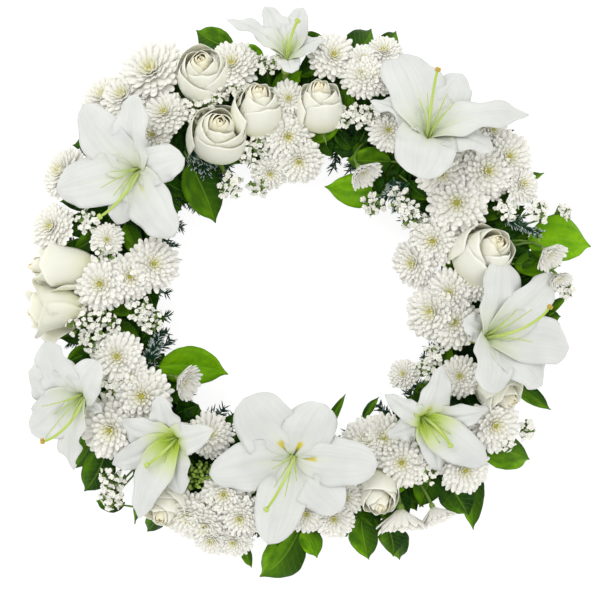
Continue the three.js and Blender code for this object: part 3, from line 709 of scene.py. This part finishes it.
def cut_stem(plant, base, axis, radius, tone=0.25):
    """A stem from inside the foam up to the base of a flower, bent over to the flower's axis."""
    angle = math.atan2(base[1] - RING_CENTRE[1], base[0] - RING_CENTRE[0])
    reach = math.hypot(base[0] - RING_CENTRE[0], base[1] - RING_CENTRE[1])
    reach = min(max(reach, RING_INNER + FOAM_MARGIN_INNER), RING_OUTER - FOAM_MARGIN_OUTER)
    foot = ring_spot(angle, reach, FOAM_TOP - STEM_DEPTH)
    span = np.linalg.norm(base - foot)
    path = bezier([foot, foot + UP * span * 0.45, base - axis * span * 0.4, base], steps(7))
    path[:, 2] = np.maximum(path[:, 2], radius * 1.5)
    plant.add_tube(path, radius, "stem", tone)


# ---- lilies ----
LILY_CONE = math.radians(73)
LILY_LIFT = 8
LILY_STEEPEST = 1.0
TEPAL_ROWS = 26
TEPAL_COLUMNS = 15
TEPAL_THICK = 0.0009
FULL_FUNNEL = 0.28
WHORL_STEP = 0.0012
TOP_TEPAL_RISE = 0.0016
KEEL = 0.0016
RIDGE = 0.0007
# A tepal's tone is the green of its throat in tenths, and below them its streak, clear of rounding.
STREAK_TONE = 0.095
TONE_GUARD = 0.002


def tepal_tip(throat, axis, azimuth, reach, rise=None):
    """The tip lies on the open cone round the axis, unless its own rise in degrees is given."""
    outward = heading(azimuth)
    level = outward @ axis
    slope = math.atan2(axis[2], level)
    spread = math.acos(min(1.0, math.cos(LILY_CONE) / math.hypot(level, axis[2])))
    rise = min(slope - spread, LILY_STEEPEST) if rise is None else math.radians(rise)
    return throat + (outward * reach + UP * reach * math.tan(rise)) * MM


def tepal_grid(throat, axis, tip, depth, width, blunt, ruffle, rng):
    """A funnel wall that opens into a blade, with a keel, two ridges and a ruffled rim."""
    run = tip - throat
    length = np.linalg.norm(run)
    share = steps(TEPAL_ROWS)
    spine = bezier([throat - axis * 0.004, throat + axis * length * depth + run * 0.06,
                    throat + axis * length * depth * 0.94 + run * 0.66, tip], share)
    side = unit(np.cross(run, axis))
    face = np.cross(side, unit(np.gradient(spine, axis=0)))
    deep = min(1.0, depth / FULL_FUNNEL)
    foot = 0.10 + 0.14 * deep
    grow = foot + (1 - foot) * smooth(share / (0.58 - 0.16 * deep))
    half = width * MM / 2 * grow * (1 - share ** (2.3 + 4.3 * blunt)) ** (0.92 - 0.30 * blunt)
    half = np.maximum(half, width * MM * 0.006) * min(1.0, 0.5 + length / 0.16)
    across = sides(TEPAL_COLUMNS)
    edge = np.abs(across)[None, :]
    cup = 0.95 * deep * (1 - smooth(share / 0.5)) - (0.10 + 0.16 * ruffle) * smooth((share - 0.55) / 0.4)
    fade = smooth((1 - share) / 0.3)[:, None]
    lift = cup[:, None] * half[:, None] * edge ** 2
    lift -= KEEL * np.exp(-((edge / 0.14) ** 2)) * fade
    lift += RIDGE * np.exp(-(((edge - 0.3) / 0.13) ** 2)) * fade
    phase = rng.uniform(0, TURN, 2)
    turns = rng.uniform(2.4, 3.6, 2)
    left, right = (np.sin(TURN * turns[n] * share + phase[n])[:, None] for n in (0, 1))
    wave = np.where(across[None, :] < 0, left, right)
    envelope = (smooth((share - 0.2) / 0.3) * smooth((1.02 - share) / 0.25))[:, None]
    lift += (0.0016 + 0.0046 * ruffle) * wave * envelope * edge ** 2.4
    bend = rng.uniform(-1, 1) * 0.05 * length * (share ** 2)[:, None]
    return sheet(spine, side, half[:, None] * across[None, :] + bend, face, lift)


def add_stamens(plant, throat, axis, azimuth, length, rng):
    """Six pale filaments without anthers, fanned round the pistil."""
    turned = basis(axis)
    for index in range(6):
        out = around(turned, TURN * index / 6 + rng.uniform(-0.25, 0.25))
        reach = length * rng.uniform(0.5, 0.8)
        plant.add_rod([throat + out * 0.002, throat + axis * reach * 0.55 + out * reach * 0.05,
                       throat + axis * reach * 0.7 + (out * 0.40 + heading(azimuth) * 0.45) * reach],
                      np.linspace(0.0009, 0.0004, 9), "pistil", 0.0)


def add_pistil(plant, throat, axis, style, ochre):
    """The style bows to one side on its way out and ends in a three-lobed knob."""
    azimuth, reach, bow = style[0], style[1] * MM, style[2] * MM
    out = heading(azimuth)
    bowed = heading(azimuth - 90) * bow
    end = throat + out * reach + UP * reach * 0.50
    path = bezier([throat, throat + axis * reach * 0.45 - bowed,
                   throat + axis * reach * 0.3 + out * reach * 0.6 + UP * reach * 0.35 - bowed, end],
                  steps(14))
    plant.add_tube(path, np.linspace(0.0019, 0.0014, 14), "pistil", 0.0, edges=8)
    ahead = unit(path[-1] - path[-2])
    turned = basis(ahead)
    for index in range(3):
        out = around(turned, TURN * index / 3)
        plant.add_rod([end - ahead * 0.001, end + ahead * 0.0015 + out * 0.002,
                       end + ahead * 0.0014 + out * 0.0034],
                      [0.0013, 0.0021, 0.0024, 0.0023, 0.0018, 0.0006], "pistil", ochre, edges=8)


def build_lily(plant, entry, rng):
    axis = leaning(*entry["lean"])
    throat = polar(entry["at"], crown_height(entry["at"][1]) + LILY_LIFT)
    for order, (azimuth, reach, kind, blunt, ruffle, *more) in enumerate(entry["tepals"]):
        streak, *rise = more or [0]
        seat = throat - axis * (WHORL_STEP * (order % 2) - (TOP_TEPAL_RISE if streak == 1 else 0))
        tip = tepal_tip(seat, axis, azimuth, reach, *rise)
        grid = tepal_grid(seat, axis, tip, entry["depth"], TEPAL_WIDTH[kind], blunt, ruffle, rng)
        plant.add_sheet(grid, TEPAL_THICK, "tepal", entry["green"] + TONE_GUARD + STREAK_TONE * streak)
    add_pistil(plant, throat, axis, entry["pistil"], entry["ochre"])
    add_stamens(plant, throat, axis, entry["pistil"][0], entry["pistil"][1] * MM, rng)
    plant.add_rod([throat - axis * 0.020, throat - axis * 0.012, throat - axis * 0.001],
                  [0.0034, 0.0044, 0.0052, 0.0058, 0.0062, 0.0060], "stem", 0.95, edges=10)
    cut_stem(plant, throat - axis * 0.018, axis, LILY_STEM, 0.4)
    for leaf in entry["leaves"]:
        # Lily leaves get 0.3 as their painted light and shade.
        add_leaf(plant, (*leaf, 0.3), "ruscus", rng)


# ---- roses ----
GOLDEN = math.radians(137.5)
# Ages of a rose's petals, heart (0) to guard petals (1): a spiral heart, then whorls of three.
ROSE_AGES = [0.0, 0.07, 0.13, 0.19, 0.25, 0.31, 0.37, 0.49, 0.54, 0.59, 0.71, 0.76, 0.81, 0.93, 0.965, 1.0]
HEART_PETALS = 7
ROSE_SPREAD = 1.07
ROSE_THICK = 0.0004
PETAL_ROWS = 17
PETAL_FOOT = -1.15
PETAL_BELLY = -0.75


def rose_petal(age, turn, flare, rng):
    """One petal on a head of radius 1: age is 0 in the heart and 1 outside.

    Its outline is a cubic from the foot over the belly (waist) and the neck to the rim.
    """
    up = steps(PETAL_ROWS)[:, None]
    wide = sides(PETAL_ROWS)[None, :]
    back = 1 - up
    outer = smooth((age - 0.6) / 0.4)
    loose = rng.uniform(0, 1) * outer
    belly = (0.14 + 0.80 * age ** 0.9) * (1 + 0.05 * loose)
    opened = flare * smooth((age - 0.5) / 0.5)
    rim = 0.015 + 0.74 * age ** 1.3 + 0.06 * loose
    top = 0.70 + 0.10 * age - 0.50 * age ** 2 - 0.10 * loose + 0.42 * opened + rng.normal(0, 0.02)
    foot = 0.08 + 0.12 * age
    point = (0.03 + 0.06 * age) * np.exp(-((wide / 0.2) ** 2))
    slant = rng.uniform(-0.05, 0.05) * wide
    fall = 1 - (0.07 + 0.15 * age) * np.abs(wide) ** 2.2 + slant
    top = (top - PETAL_FOOT) * fall + PETAL_FOOT + point
    neck = (rim + 0.12 + 0.55 * max(belly - rim, 0)) * (1 - 0.22 * opened)
    waist = belly * (1.25 - 0.30 * opened)
    rim = rim + 0.62 * opened
    shoulder = top - 0.08 - 0.34 * age
    radius = back ** 3 * foot + 3 * back * up * (back * waist + up * neck) + up ** 3 * rim
    height = back ** 3 * PETAL_FOOT + 3 * back ** 2 * up * PETAL_BELLY
    height = height + 3 * back * up ** 2 * shoulder + up ** 3 * top
    lip = smooth((up - 0.82) / 0.18)
    roll = (0.008 + 0.04 * outer + 0.16 * opened) * rng.uniform(0.4, 1.2)
    radius = radius + roll * lip * (1 - 0.4 * np.abs(wide))
    height = height - roll * 0.5 * lip ** 4
    radius = radius * (1 + (0.05 + 0.06 * smooth(age / 0.5)) * wide)
    ripple = np.sin(wide * 4.6 + rng.uniform(0, TURN)) * smooth((up - 0.45) / 0.55)
    radius = radius + 0.016 * ripple * age * (1 + 4 * opened)
    spread = math.radians(150 - 74 * min(1, age / 0.5) ** 0.7) * (0.42 + 0.58 * smooth(up / 0.6))
    angle = turn + wide * spread
    return np.stack([radius * np.cos(angle), radius * np.sin(angle), height + 0 * wide], -1)


def build_rose(plant, entry, rng):
    at, size, lean, lift, long, flare = entry
    axis = leaning(*lean)
    place = polar(at, crown_height(at[1]) + lift - size * 0.25 * (lean[1] / 60))
    turned = basis(axis, rng.uniform(0, TURN))
    scale = size * MM * ROSE_SPREAD
    for number, age in enumerate(ROSE_AGES):
        whorl, spot = divmod(number - HEART_PETALS, 3)
        turn = number * GOLDEN if number < HEART_PETALS else whorl * 1.1 + spot * TURN / 3
        grid = rose_petal(age, turn + rng.uniform(-0.15, 0.15), flare, rng) * [scale, scale, scale * long]
        plant.add_sheet(grid @ turned + place, ROSE_THICK, "rose", age)
    plant.add_rod([place - axis * scale * 0.3, place + axis * scale * 0.58 * long],
                  np.array([0.16, 0.15, 0.13, 0.10, 0.05]) * scale, "rose", 0.0, edges=10)
    base = place - axis * scale * 1.06 * long
    add_calyx(plant, base, axis, scale, rng)
    cut_stem(plant, base - axis * scale * 0.1, axis, ROSE_STEM, 0.2)


def add_calyx(plant, base, axis, scale, rng):
    """A swollen green hip and five sepals turned back under the flower."""
    plant.add_rod([base - axis * scale * 0.22, base + axis * scale * 0.12],
                  np.array([0.10, 0.20, 0.24, 0.22, 0.14]) * scale, "stem", 0.35, edges=10)
    turned = basis(axis, rng.uniform(0, TURN))
    share = steps(9)
    across = sides(5)[None, :]
    half = (scale * 0.13 * (1 - share ** 1.6) + scale * 0.008)[:, None]
    for index in range(5):
        out = around(turned, TURN * index / 5)
        side = np.cross(axis, out)
        spine = bezier([base, base + out * scale * 0.4 + axis * scale * 0.05,
                        base + out * scale * 0.75 + axis * scale * 0.16,
                        base + out * scale * 0.95 - axis * scale * rng.uniform(-0.1, 0.25)], share)
        face = unit(np.cross(side[None, :], np.gradient(spine, axis=0)))
        grid = sheet(spine, side, half * across, face, half * across ** 2 * 0.5)
        plant.add_sheet(grid, LEAF_THICK, "stem", 0.3)


# ---- chrysanthemums ----
# Rings of ray florets from the outside in: count, length, lift in degrees, width, curl.
RAY_RINGS = [
    (24, 1.10, 0, 0.25, -10), (23, 1.04, 6, 0.25, -4), (21, 0.95, 12, 0.24, 2), (19, 0.84, 19, 0.23, 10),
    (16, 0.71, 28, 0.21, 20), (13, 0.57, 39, 0.18, 32), (10, 0.42, 52, 0.15, 44), (7, 0.28, 68, 0.11, 56),
]
RAY_SHARE = np.array([0, 0.25, 0.5, 0.74, 0.88, 0.965, 1.0])
RAY_COLUMNS = 4
RAY_THICK = 0.020
RAY_START = 0.05
MUM_SPREAD = 1.13
MUM_VARIANTS = 7
DISC_FLORETS = 26
HALF_OPEN = 42


def ray_ring(count, length, lift, width, curl, phase, rng):
    """Grids of one ring of ray florets on a head of radius 1: (count, rows, columns, 3)."""
    share = RAY_SHARE[None, :]
    long = length * rng.uniform(0.88, 1.05, (count, 1))
    slope = np.radians(lift + rng.normal(0, 3.5, (count, 1)) + curl * (share - 0.55))
    step = long * np.diff(RAY_SHARE)[None, :]
    none = np.zeros((count, 1))
    radius = RAY_START + np.concatenate([none, np.cumsum(np.cos(slope[:, 1:]) * step, 1)], 1)
    height = np.concatenate([none, np.cumsum(np.sin(slope[:, 1:]) * step, 1)], 1)
    tip = np.clip((share - 0.76) / 0.24, 0, 1)
    half = width / 2 * (0.40 + 0.60 * smooth(share / 0.6)) * np.sqrt(1 - tip ** 2) + width * 0.02
    half = (half * rng.uniform(0.85, 1.15, (count, 1)))[..., None]
    across = sides(RAY_COLUMNS)[None, None, :]
    scoop = -0.28 * half * across ** 2
    twist = rng.normal(0, 0.12, (count, 1, 1)) * share[..., None]
    rise = height[..., None] + np.cos(slope)[..., None] * scoop + twist * half * across
    out = radius[..., None] - np.sin(slope)[..., None] * scoop
    bearing = phase + TURN * (np.arange(count) / count)[:, None, None]
    bearing = bearing + rng.normal(0, 0.035, (count, 1, 1))
    aside = half * across
    x = out * np.cos(bearing) - aside * np.sin(bearing)
    y = out * np.sin(bearing) + aside * np.cos(bearing)
    return np.stack([x, y, rise], -1)


def mum_head(rng, cup=0):
    """A head of radius 1 that faces +Z; cup is how many degrees it is still closed."""
    parts = []
    for order, (count, length, lift, width, curl) in enumerate(RAY_RINGS):
        closing = cup * (1 - order / len(RAY_RINGS))
        grids = ray_ring(count, length, lift + closing, width, curl, rng.uniform(0, TURN), rng)
        grids[..., 2] += 0.026 * order - 0.06
        skin, quads = shell(grids, RAY_THICK)
        offsets = (np.arange(count) * skin.shape[1])[:, None, None]
        marks = sheet_marks(RAY_SHARE, RAY_COLUMNS, 1 - order / (len(RAY_RINGS) - 0.6))
        faces = (quads[None] + offsets).reshape(-1, 4)
        parts.append((skin.reshape(-1, 3), faces, np.tile(marks, (count, 1))))
    return gathered(parts)


def mum_eye():
    """The tight button of disc florets: small buds over a dome."""
    parts = []
    for number in range(DISC_FLORETS):
        radius = 0.11 * math.sqrt((number + 0.5) / DISC_FLORETS)
        angle = number * GOLDEN
        top = np.array([radius * math.cos(angle), radius * math.sin(angle), 0.22 - 2.4 * radius ** 2])
        foot = top * [0.5, 0.5, 0.0]
        points, faces = tube(bezier([foot, top], steps(4)), [0.018, 0.026, 0.03, 0.012])
        parts.append((points, faces, np.full_like(points, 0.5) * [1, 0, 1]))
    return gathered(parts)


MUM_HEADS = [mum_head(chance(number)) for number in range(MUM_VARIANTS)]
HALF_OPEN_HEAD = mum_head(chance(50), cup=HALF_OPEN)
MUM_EYE = mum_eye()


def add_mum(plant, head, number, rng):
    """A head, its eye, its green cup and its stem; only half-open heads have a facing of their own."""
    degrees, radius, size, *facing = head
    axis = leaning(*facing[0]) if facing else crown_facing((degrees, radius))
    axis = unit(axis + rng.normal(0, 0.08, 3))
    place = polar((degrees, radius), crown_height(radius))
    turned = basis(axis, rng.uniform(0, TURN)) * size * MM * MUM_SPREAD
    rays = HALF_OPEN_HEAD if facing else MUM_HEADS[number % MUM_VARIANTS]
    for look, (points, faces, marks) in (("ray", rays), ("eye", MUM_EYE)):
        plant.add(points @ turned + place, faces, look, marks)
    base = place - axis * size * MM * 0.22
    girth = 0.55 if facing else 1.0
    plant.add_rod([base - axis * 0.003, place + axis * 0.001],
                  np.array([0.10, 0.22, 0.27, 0.26, 0.20]) * girth * size * MM, "stem", 0.35, edges=10)
    cut_stem(plant, base - axis * 0.002, axis, MUM_STEM)


def build_spray(plant, heads, rng):
    for number, head in enumerate(heads):
        add_mum(plant, head, plant.index * 3 + number, rng)


# ---- statice ----
FLORET_LOBES = 5
FLORET_THICK = 0.09
FLORET_VARIANTS = 6
FLORETS_IN_CLUSTER = 22


def floret(rng):
    """A crumpled papery floret of radius 1, facing +Z: five cupped lobes that meet in the middle."""
    share = steps(5)[:, None]
    wide = sides(4)[None, :]
    parts = []
    for lobe in range(FLORET_LOBES):
        reach = rng.uniform(0.75, 1.1)
        rise = rng.uniform(0.1, 0.75)
        angle = TURN * lobe / FLORET_LOBES + rng.uniform(-0.2, 0.2) + wide * (TURN / 10) * 1.25
        radius = reach * (0.97 * share - 0.24 * share * wide ** 2) + 0.004
        height = 0.25 + rise * share * (1 - 0.45 * share) - 0.20 * share * wide ** 2
        grid = np.stack([radius * np.cos(angle), radius * np.sin(angle), height + 0 * angle], -1)
        parts.append((*shell(grid, FLORET_THICK), sheet_marks(share[:, 0], 4, 0.0)))
    return gathered(parts)


FLORETS = [floret(chance(60 + number)) for number in range(FLORET_VARIANTS)]


def add_cluster(plant, cluster, rng):
    """A flat tuft of florets, or of green buds where it is closed, on stalks from one fork."""
    degrees, radius, size, *closed = cluster
    place = polar((degrees, radius), crown_height(radius))
    axis = crown_facing((degrees, radius))
    turned = basis(axis)
    fork = place - axis * size * MM * 0.9
    cut_stem(plant, fork, axis, STATICE_STEM, 0.3)
    for number in range(FLORETS_IN_CLUSTER):
        angle = number * GOLDEN + rng.uniform(-0.4, 0.4)
        out = math.sqrt((number + rng.uniform(0, 1)) / FLORETS_IN_CLUSTER)
        where = around(turned, angle) * out
        spot = place + (where * 1.32 + axis * (0.5 * (1 - out ** 2) + rng.uniform(-0.45, 0.45))) * size * MM
        facing = unit(axis + where * 0.8 + rng.normal(0, 0.35, 3))
        if closed:
            plant.add_rod([spot - facing * 0.004, spot + facing * 0.003],
                          [0.0008, 0.0019, 0.0022, 0.0016, 0.0005], "stem", rng.uniform(0.55, 0.85))
        else:
            own = basis(facing, rng.uniform(0, TURN)) * rng.uniform(2.9, 4.2) * MM
            points, faces, marks = FLORETS[number % FLORET_VARIANTS]
            plant.add(points @ own + spot, faces, "statice", marks)
        plant.add_rod([spot - facing * 0.008 - axis * 0.001, spot + facing * 0.0004],
                      [0.0009, 0.0019, 0.0019, 0.0010], "stem", 0.3)
        plant.add_rod([fork, fork + axis * 0.004, spot - facing * 0.003, spot],
                      [0.0006, 0.0005, 0.0005, 0.0008, 0.0006], "stem", 0.25, edges=4)


def build_statice(plant, clusters, rng):
    for cluster in clusters:
        add_cluster(plant, cluster, rng)


# ---- foliage ----
LEAF_DROP = 16
LEAF_ROWS = 18
LEAF_COLUMNS = 11
LEAF_THICK = 0.0005
LEAF_REST = 0.0016
LEAF_FULLNESS = {"salal": 1.7, "ruscus": 1.4}
LEAF_RIPPLE = 0.0011
NEEDLE = [0.0006, 0.0007, 0.0006, 0.0002]


def leaf_grid(start, tip, width, fullness, rng, arch=UP):
    """A leaf with a drip tip, whose back bows towards arch; it settles where it meets the ground."""
    run = tip - start
    length = np.linalg.norm(run)
    share = steps(LEAF_ROWS)
    side = unit(np.cross(run, arch))
    sway = side * length * rng.uniform(-0.10, 0.10)
    lift = arch * length * rng.uniform(0.01, 0.09)
    spine = bezier([start, start + run * 0.35 + lift + sway, start + run * 0.7 + lift + sway, tip], share)
    ahead = unit(np.gradient(spine, axis=0))
    outline = share ** 0.54 * (1 - share ** fullness) ** 1.12 * (1 - 0.5 * smooth((share - 0.78) / 0.22))
    half = width * MM / 2 * (outline / outline.max() + 0.012)
    teeth = np.sin(share * 34 + rng.uniform(0, TURN))
    half += width * MM * 0.010 * teeth * smooth(share / 0.2) * (1 - share)
    across = sides(LEAF_COLUMNS)[None, :]
    edge = np.abs(across)
    tilt = rng.uniform(-0.25, 0.25)
    roll = half[:, None] * (rng.uniform(0.16, 0.34) * edge - 0.14 * edge ** 3 + tilt * across)
    phase = rng.uniform(0, TURN, 2)
    wave = np.sin(TURN * 1.8 * share + phase[0])[:, None] * np.sign(across)
    wave = wave + np.sin(TURN * 1.3 * share + phase[1])[:, None]
    roll = roll + LEAF_RIPPLE * wave * edge ** 2
    grid = sheet(spine, side, half[:, None] * across, np.cross(side, ahead), roll)
    grid[..., 2] = np.maximum(grid[..., 2], LEAF_REST + 0.06 * (grid[..., 2] - LEAF_REST))
    return grid


def leaf_point(place, drop=LEAF_DROP):
    """A point of the greenery, drop mm under the dome of flowers."""
    return polar(place, crown_height(place[1]) - drop)


def add_leaf(plant, leaf, look, rng, drop=LEAF_DROP):
    """A leaf (base, tip, width, brightness: its painted light and shade), its stalk and the stem that it
    grows from.
    """
    base, end, width, bright = leaf
    start = leaf_point(base, drop)
    tip = leaf_point(end, drop)
    plant.add_sheet(leaf_grid(start, tip, width, LEAF_FULLNESS[look], rng), LEAF_THICK, look, bright)
    away = unit(start - tip)
    plant.add_rod([start + away * 0.012 - UP * 0.004, start, start - away * 0.006],
                  [0.0012, 0.0011, 0.001, 0.0009, 0.0006], "stem", 0.3)
    cut_stem(plant, start + away * 0.011 - UP * 0.004, unit(-away + UP), LEAF_STEM, 0.2)


def build_sprig(plant, leaves, rng):
    for leaf in leaves:
        add_leaf(plant, leaf, plant.slot, rng)


def add_twig(plant, start, tip, needle, frost, rng, whorls=34):
    """A fir twig: a woody stem with needles all round in threes, combed forward."""
    spine = [start, (start + tip) / 2 + UP * 0.003, tip]
    plant.add_rod(spine, np.linspace(0.0013, 0.0007, 8), "stem", 0.0)
    ahead = unit(tip - start)
    turned = basis(ahead)
    for number in range(whorls):
        along = (number + 0.5) / whorls
        foot = bezier(spine, [along])[0]
        for _ in range(3):
            way = unit(around(turned, rng.uniform(0, TURN)) + ahead * rng.uniform(0.45, 0.9))
            length = needle * rng.uniform(0.8, 1.1) * (1 - 0.35 * along)
            plant.add_rod([foot, foot + way * length * 0.5 + ahead * length * 0.05,
                           foot + way * length + ahead * length * 0.16], NEEDLE, "fir", frost, edges=4)


def build_fir(plant, entry, rng):
    start, tip = leaf_point(entry[0]), leaf_point(entry[1])
    add_twig(plant, start, tip, 0.013, 1.0, rng)
    side = unit(np.cross(tip - start, UP))
    for share, way in ((0.25, 1), (0.4, -1), (0.6, 1)):
        root = start + (tip - start) * share
        add_twig(plant, root, root + (tip - start) * 0.4 + side * way * 0.018, 0.011, 1.0, rng, whorls=18)


# ---- base greenery ----
BASE_PARTS = 6
HANGING_TWIGS = 26
HANGING_LEAVES = 36
LYING_LEAVES = 24
RIM_LEAVES = 30


def ring_places(part, count, rng):
    """Angles spread over one part of the ring; every third place is on its inner side."""
    for number in range(count):
        yield TURN * (part + (number + rng.uniform(0, 1)) / count) / BASE_PARTS, number % 3 == 0


def base_leaf(plant, start, tip, narrow, wide, dark, bright, rng, arch=UP):
    grid = leaf_grid(start, tip, rng.uniform(narrow, wide), 1.9, rng, arch)
    # The leaf's tone, its painted light and shade, is drawn between dark and bright.
    plant.add_sheet(grid, LEAF_THICK, "salal", rng.uniform(dark, bright))


def hang_greenery(plant, part, rng):
    """Fir twigs and leaves that hang down the outer and inner side of the foam and the tray."""
    for angle, inner in ring_places(part, HANGING_TWIGS, rng):
        radius = RING_INNER - 0.004 if inner else RING_OUTER + 0.004
        outward = -1 if inner else 1
        low = rng.uniform(0.006, 0.034)
        start = ring_spot(angle, radius - outward * 0.014, FOAM_TOP - 0.004)
        swing = angle + rng.uniform(-0.10, 0.10)
        tip = ring_spot(swing, radius + outward * rng.uniform(0.012, 0.026), low + 0.012)
        add_twig(plant, start, tip, 0.013, 0.25, rng, whorls=20)
    for angle, inner in ring_places(part, HANGING_LEAVES, rng):
        outward = unit(ring_spot(angle, 1.0, 0) - RING_CENTRE) * (-1 if inner else 1)
        edge = RING_INNER if inner else RING_OUTER
        start = ring_spot(angle, edge, FOAM_TOP + 0.002) - outward * 0.006
        low = rng.uniform(0.004, 0.014)
        swing = angle + rng.uniform(-0.07, 0.07)
        reach = rng.uniform(0.004, 0.008) if inner else rng.uniform(0.010, 0.026)
        tip = ring_spot(swing, edge, low) + outward * reach
        base_leaf(plant, start, tip, 20, 30, 0.05, 0.4, rng, outward)


def cover_foam(plant, part, rng):
    """Leaves that lie on the foam, and others that stick out past its rims, painted dark as painted shade.
    """
    for angle, _ in ring_places(part, LYING_LEAVES, rng):
        radius = rng.uniform(RING_INNER - 0.004, RING_OUTER + 0.012)
        start = ring_spot(angle, radius, FOAM_TOP + 0.001)
        swing = rng.uniform(0, TURN)
        tip = start + np.array([math.cos(swing), math.sin(swing), 0]) * rng.uniform(0.030, 0.044)
        tip[2] = FOAM_TOP + rng.uniform(-0.004, 0.010)
        base_leaf(plant, start, tip, 16, 24, 0.0, 0.15, rng)
    for angle, inner in ring_places(part, RIM_LEAVES, rng):
        near = RING_INNER + 0.012 if inner else RING_OUTER - 0.008
        far = RING_INNER - 0.012 if inner else RING_OUTER + 0.036
        start = ring_spot(angle, near, FOAM_TOP + 0.001)
        tip = ring_spot(angle + rng.uniform(-0.06, 0.06), far, FOAM_TOP + rng.uniform(-0.022, 0.006))
        base_leaf(plant, start, tip, 20, 28, 0.0, 0.2, rng)


def make_base_greenery():
    """Fir pieces and leaves painted dark as painted shade, pinned all round, which hide the foam under the
    flowers.
    """
    rng = chance(900)
    for part in range(BASE_PARTS):
        plant = Plant("base_greenery", part, "fir")
        hang_greenery(plant, part, rng)
        cover_foam(plant, part, rng)
        for place, end in TUFTS[part::BASE_PARTS]:
            add_twig(plant, leaf_point(place, 6), leaf_point(end, 4), 0.012, 1.0, rng)
        for leaf in UNDER_LEAVES[part::BASE_PARTS]:
            add_leaf(plant, leaf, "salal", rng, drop=22)
        plant.finish()


# Every kind of stem: its piece, its CAD node, its slot, its seed, and what builds it from what.
STEMS = [
    ("lily_bloom", "lily", "lily", 100, build_lily, LILIES),
    ("rose_bloom", "rose", "rose", 200, build_rose, ROSES),
    ("chrysanthemum_blooms", "chrysanthemum_spray", "chrysanthemum", 300, build_spray, CHRYSANTHEMUMS),
    ("statice_florets", "statice_sprig", "statice", 400, build_statice, STATICE),
    ("salal_leaves", "salal_sprig", "salal", 500, build_sprig, SALAL),
    ("ruscus_leaves", "ruscus_stem", "ruscus", 600, build_sprig, RUSCUS),
    ("fir_needles", "fir_sprig", "fir", 700, build_fir, FIR),
]
for piece_name, node_name, slot_name, seed, build, entries in STEMS:
    for number, stem in enumerate(entries):
        plant = Plant(piece_name, number, slot_name)
        build(plant, stem, chance(seed + number))
        plant.finish(numbered(node_name, number))
make_base_greenery()


def paint_node(node, material):
    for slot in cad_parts[node].material_slots:
        slot.material = material


paint_node("foam_ring", foam_material())
paint_node("base_tray", tray_material())

# ---- floor, light and camera ----
FLOOR_HALF = 4.0
FLOOR_DROP = 0.0006
FLOOR_GLOW = 0.86
SKY_STRENGTH = 1.0
CAMERA_HEIGHT = 5.0
FRAME_WIDTH = 0.648
SENSOR_WIDTH = 36
CAMERA_ASIDE = (0.0011, -0.0022)
AIM_HEIGHT = 0.08
# Softboxes: place from the middle of the wreath, diameter, watts.
SOFTBOXES = {"softbox_key": ((-0.9, 1.1, 2.2), 1.3, 16), "softbox_fill": ((1.4, -0.9, 1.9), 1.6, 4)}

scene = bpy.context.scene
scene.view_settings.view_transform = "Standard"
scene.view_settings.look = "None"


def make_floor():
    mesh = bpy.data.meshes.new("studio_floor")
    corners = [(x * FLOOR_HALF, y * FLOOR_HALF, 0) for x, y in ((-1, -1), (1, -1), (1, 1), (-1, 1))]
    mesh.from_pydata(corners, [], [(0, 1, 2, 3)])
    floor = bpy.data.objects.new("studio_floor", mesh)
    floor.location.z = -FLOOR_DROP
    scene.collection.objects.link(floor)
    n = Nodes("floor_white")
    grain = n.noise(3.0, 2.0)
    n.finish(n.mix(n.span(grain, 0.3, 0.7), (0.28, 0.28, 0.28), (0.30, 0.30, 0.30)), 0.9, 0.1)
    n.shader.inputs["Emission Color"].default_value = (1, 1, 1, 1)
    n.shader.inputs["Emission Strength"].default_value = FLOOR_GLOW
    mesh.materials.append(n.material)


def add_area(name, place, aim, size, power):
    data = bpy.data.lights.new(name, "AREA")
    data.shape = "DISK"
    data.size = size
    data.energy = power
    lamp = bpy.data.objects.new(name, data)
    lamp.location = place
    lamp.rotation_euler = (Vector(aim) - Vector(place)).to_track_quat("-Z", "Y").to_euler()
    scene.collection.objects.link(lamp)


make_floor()
world = bpy.data.worlds.new("studio_sky")
world.use_nodes = True
sky = world.node_tree.nodes["Background"]
sky.inputs["Color"].default_value = (1, 1, 1, 1)
sky.inputs["Strength"].default_value = SKY_STRENGTH
scene.world = world
middle = RING_CENTRE + UP * AIM_HEIGHT
for name, (place, size, power) in SOFTBOXES.items():
    add_area(name, middle + np.array(place), middle, size, power)

camera_data = bpy.data.cameras.new("camera")
camera_data.sensor_width = SENSOR_WIDTH
camera_data.lens = SENSOR_WIDTH * CAMERA_HEIGHT / FRAME_WIDTH
camera_data.clip_end = 50
camera = bpy.data.objects.new("camera", camera_data)
camera.location = middle + np.array([*CAMERA_ASIDE, CAMERA_HEIGHT])
scene.collection.objects.link(camera)
scene.camera = camera
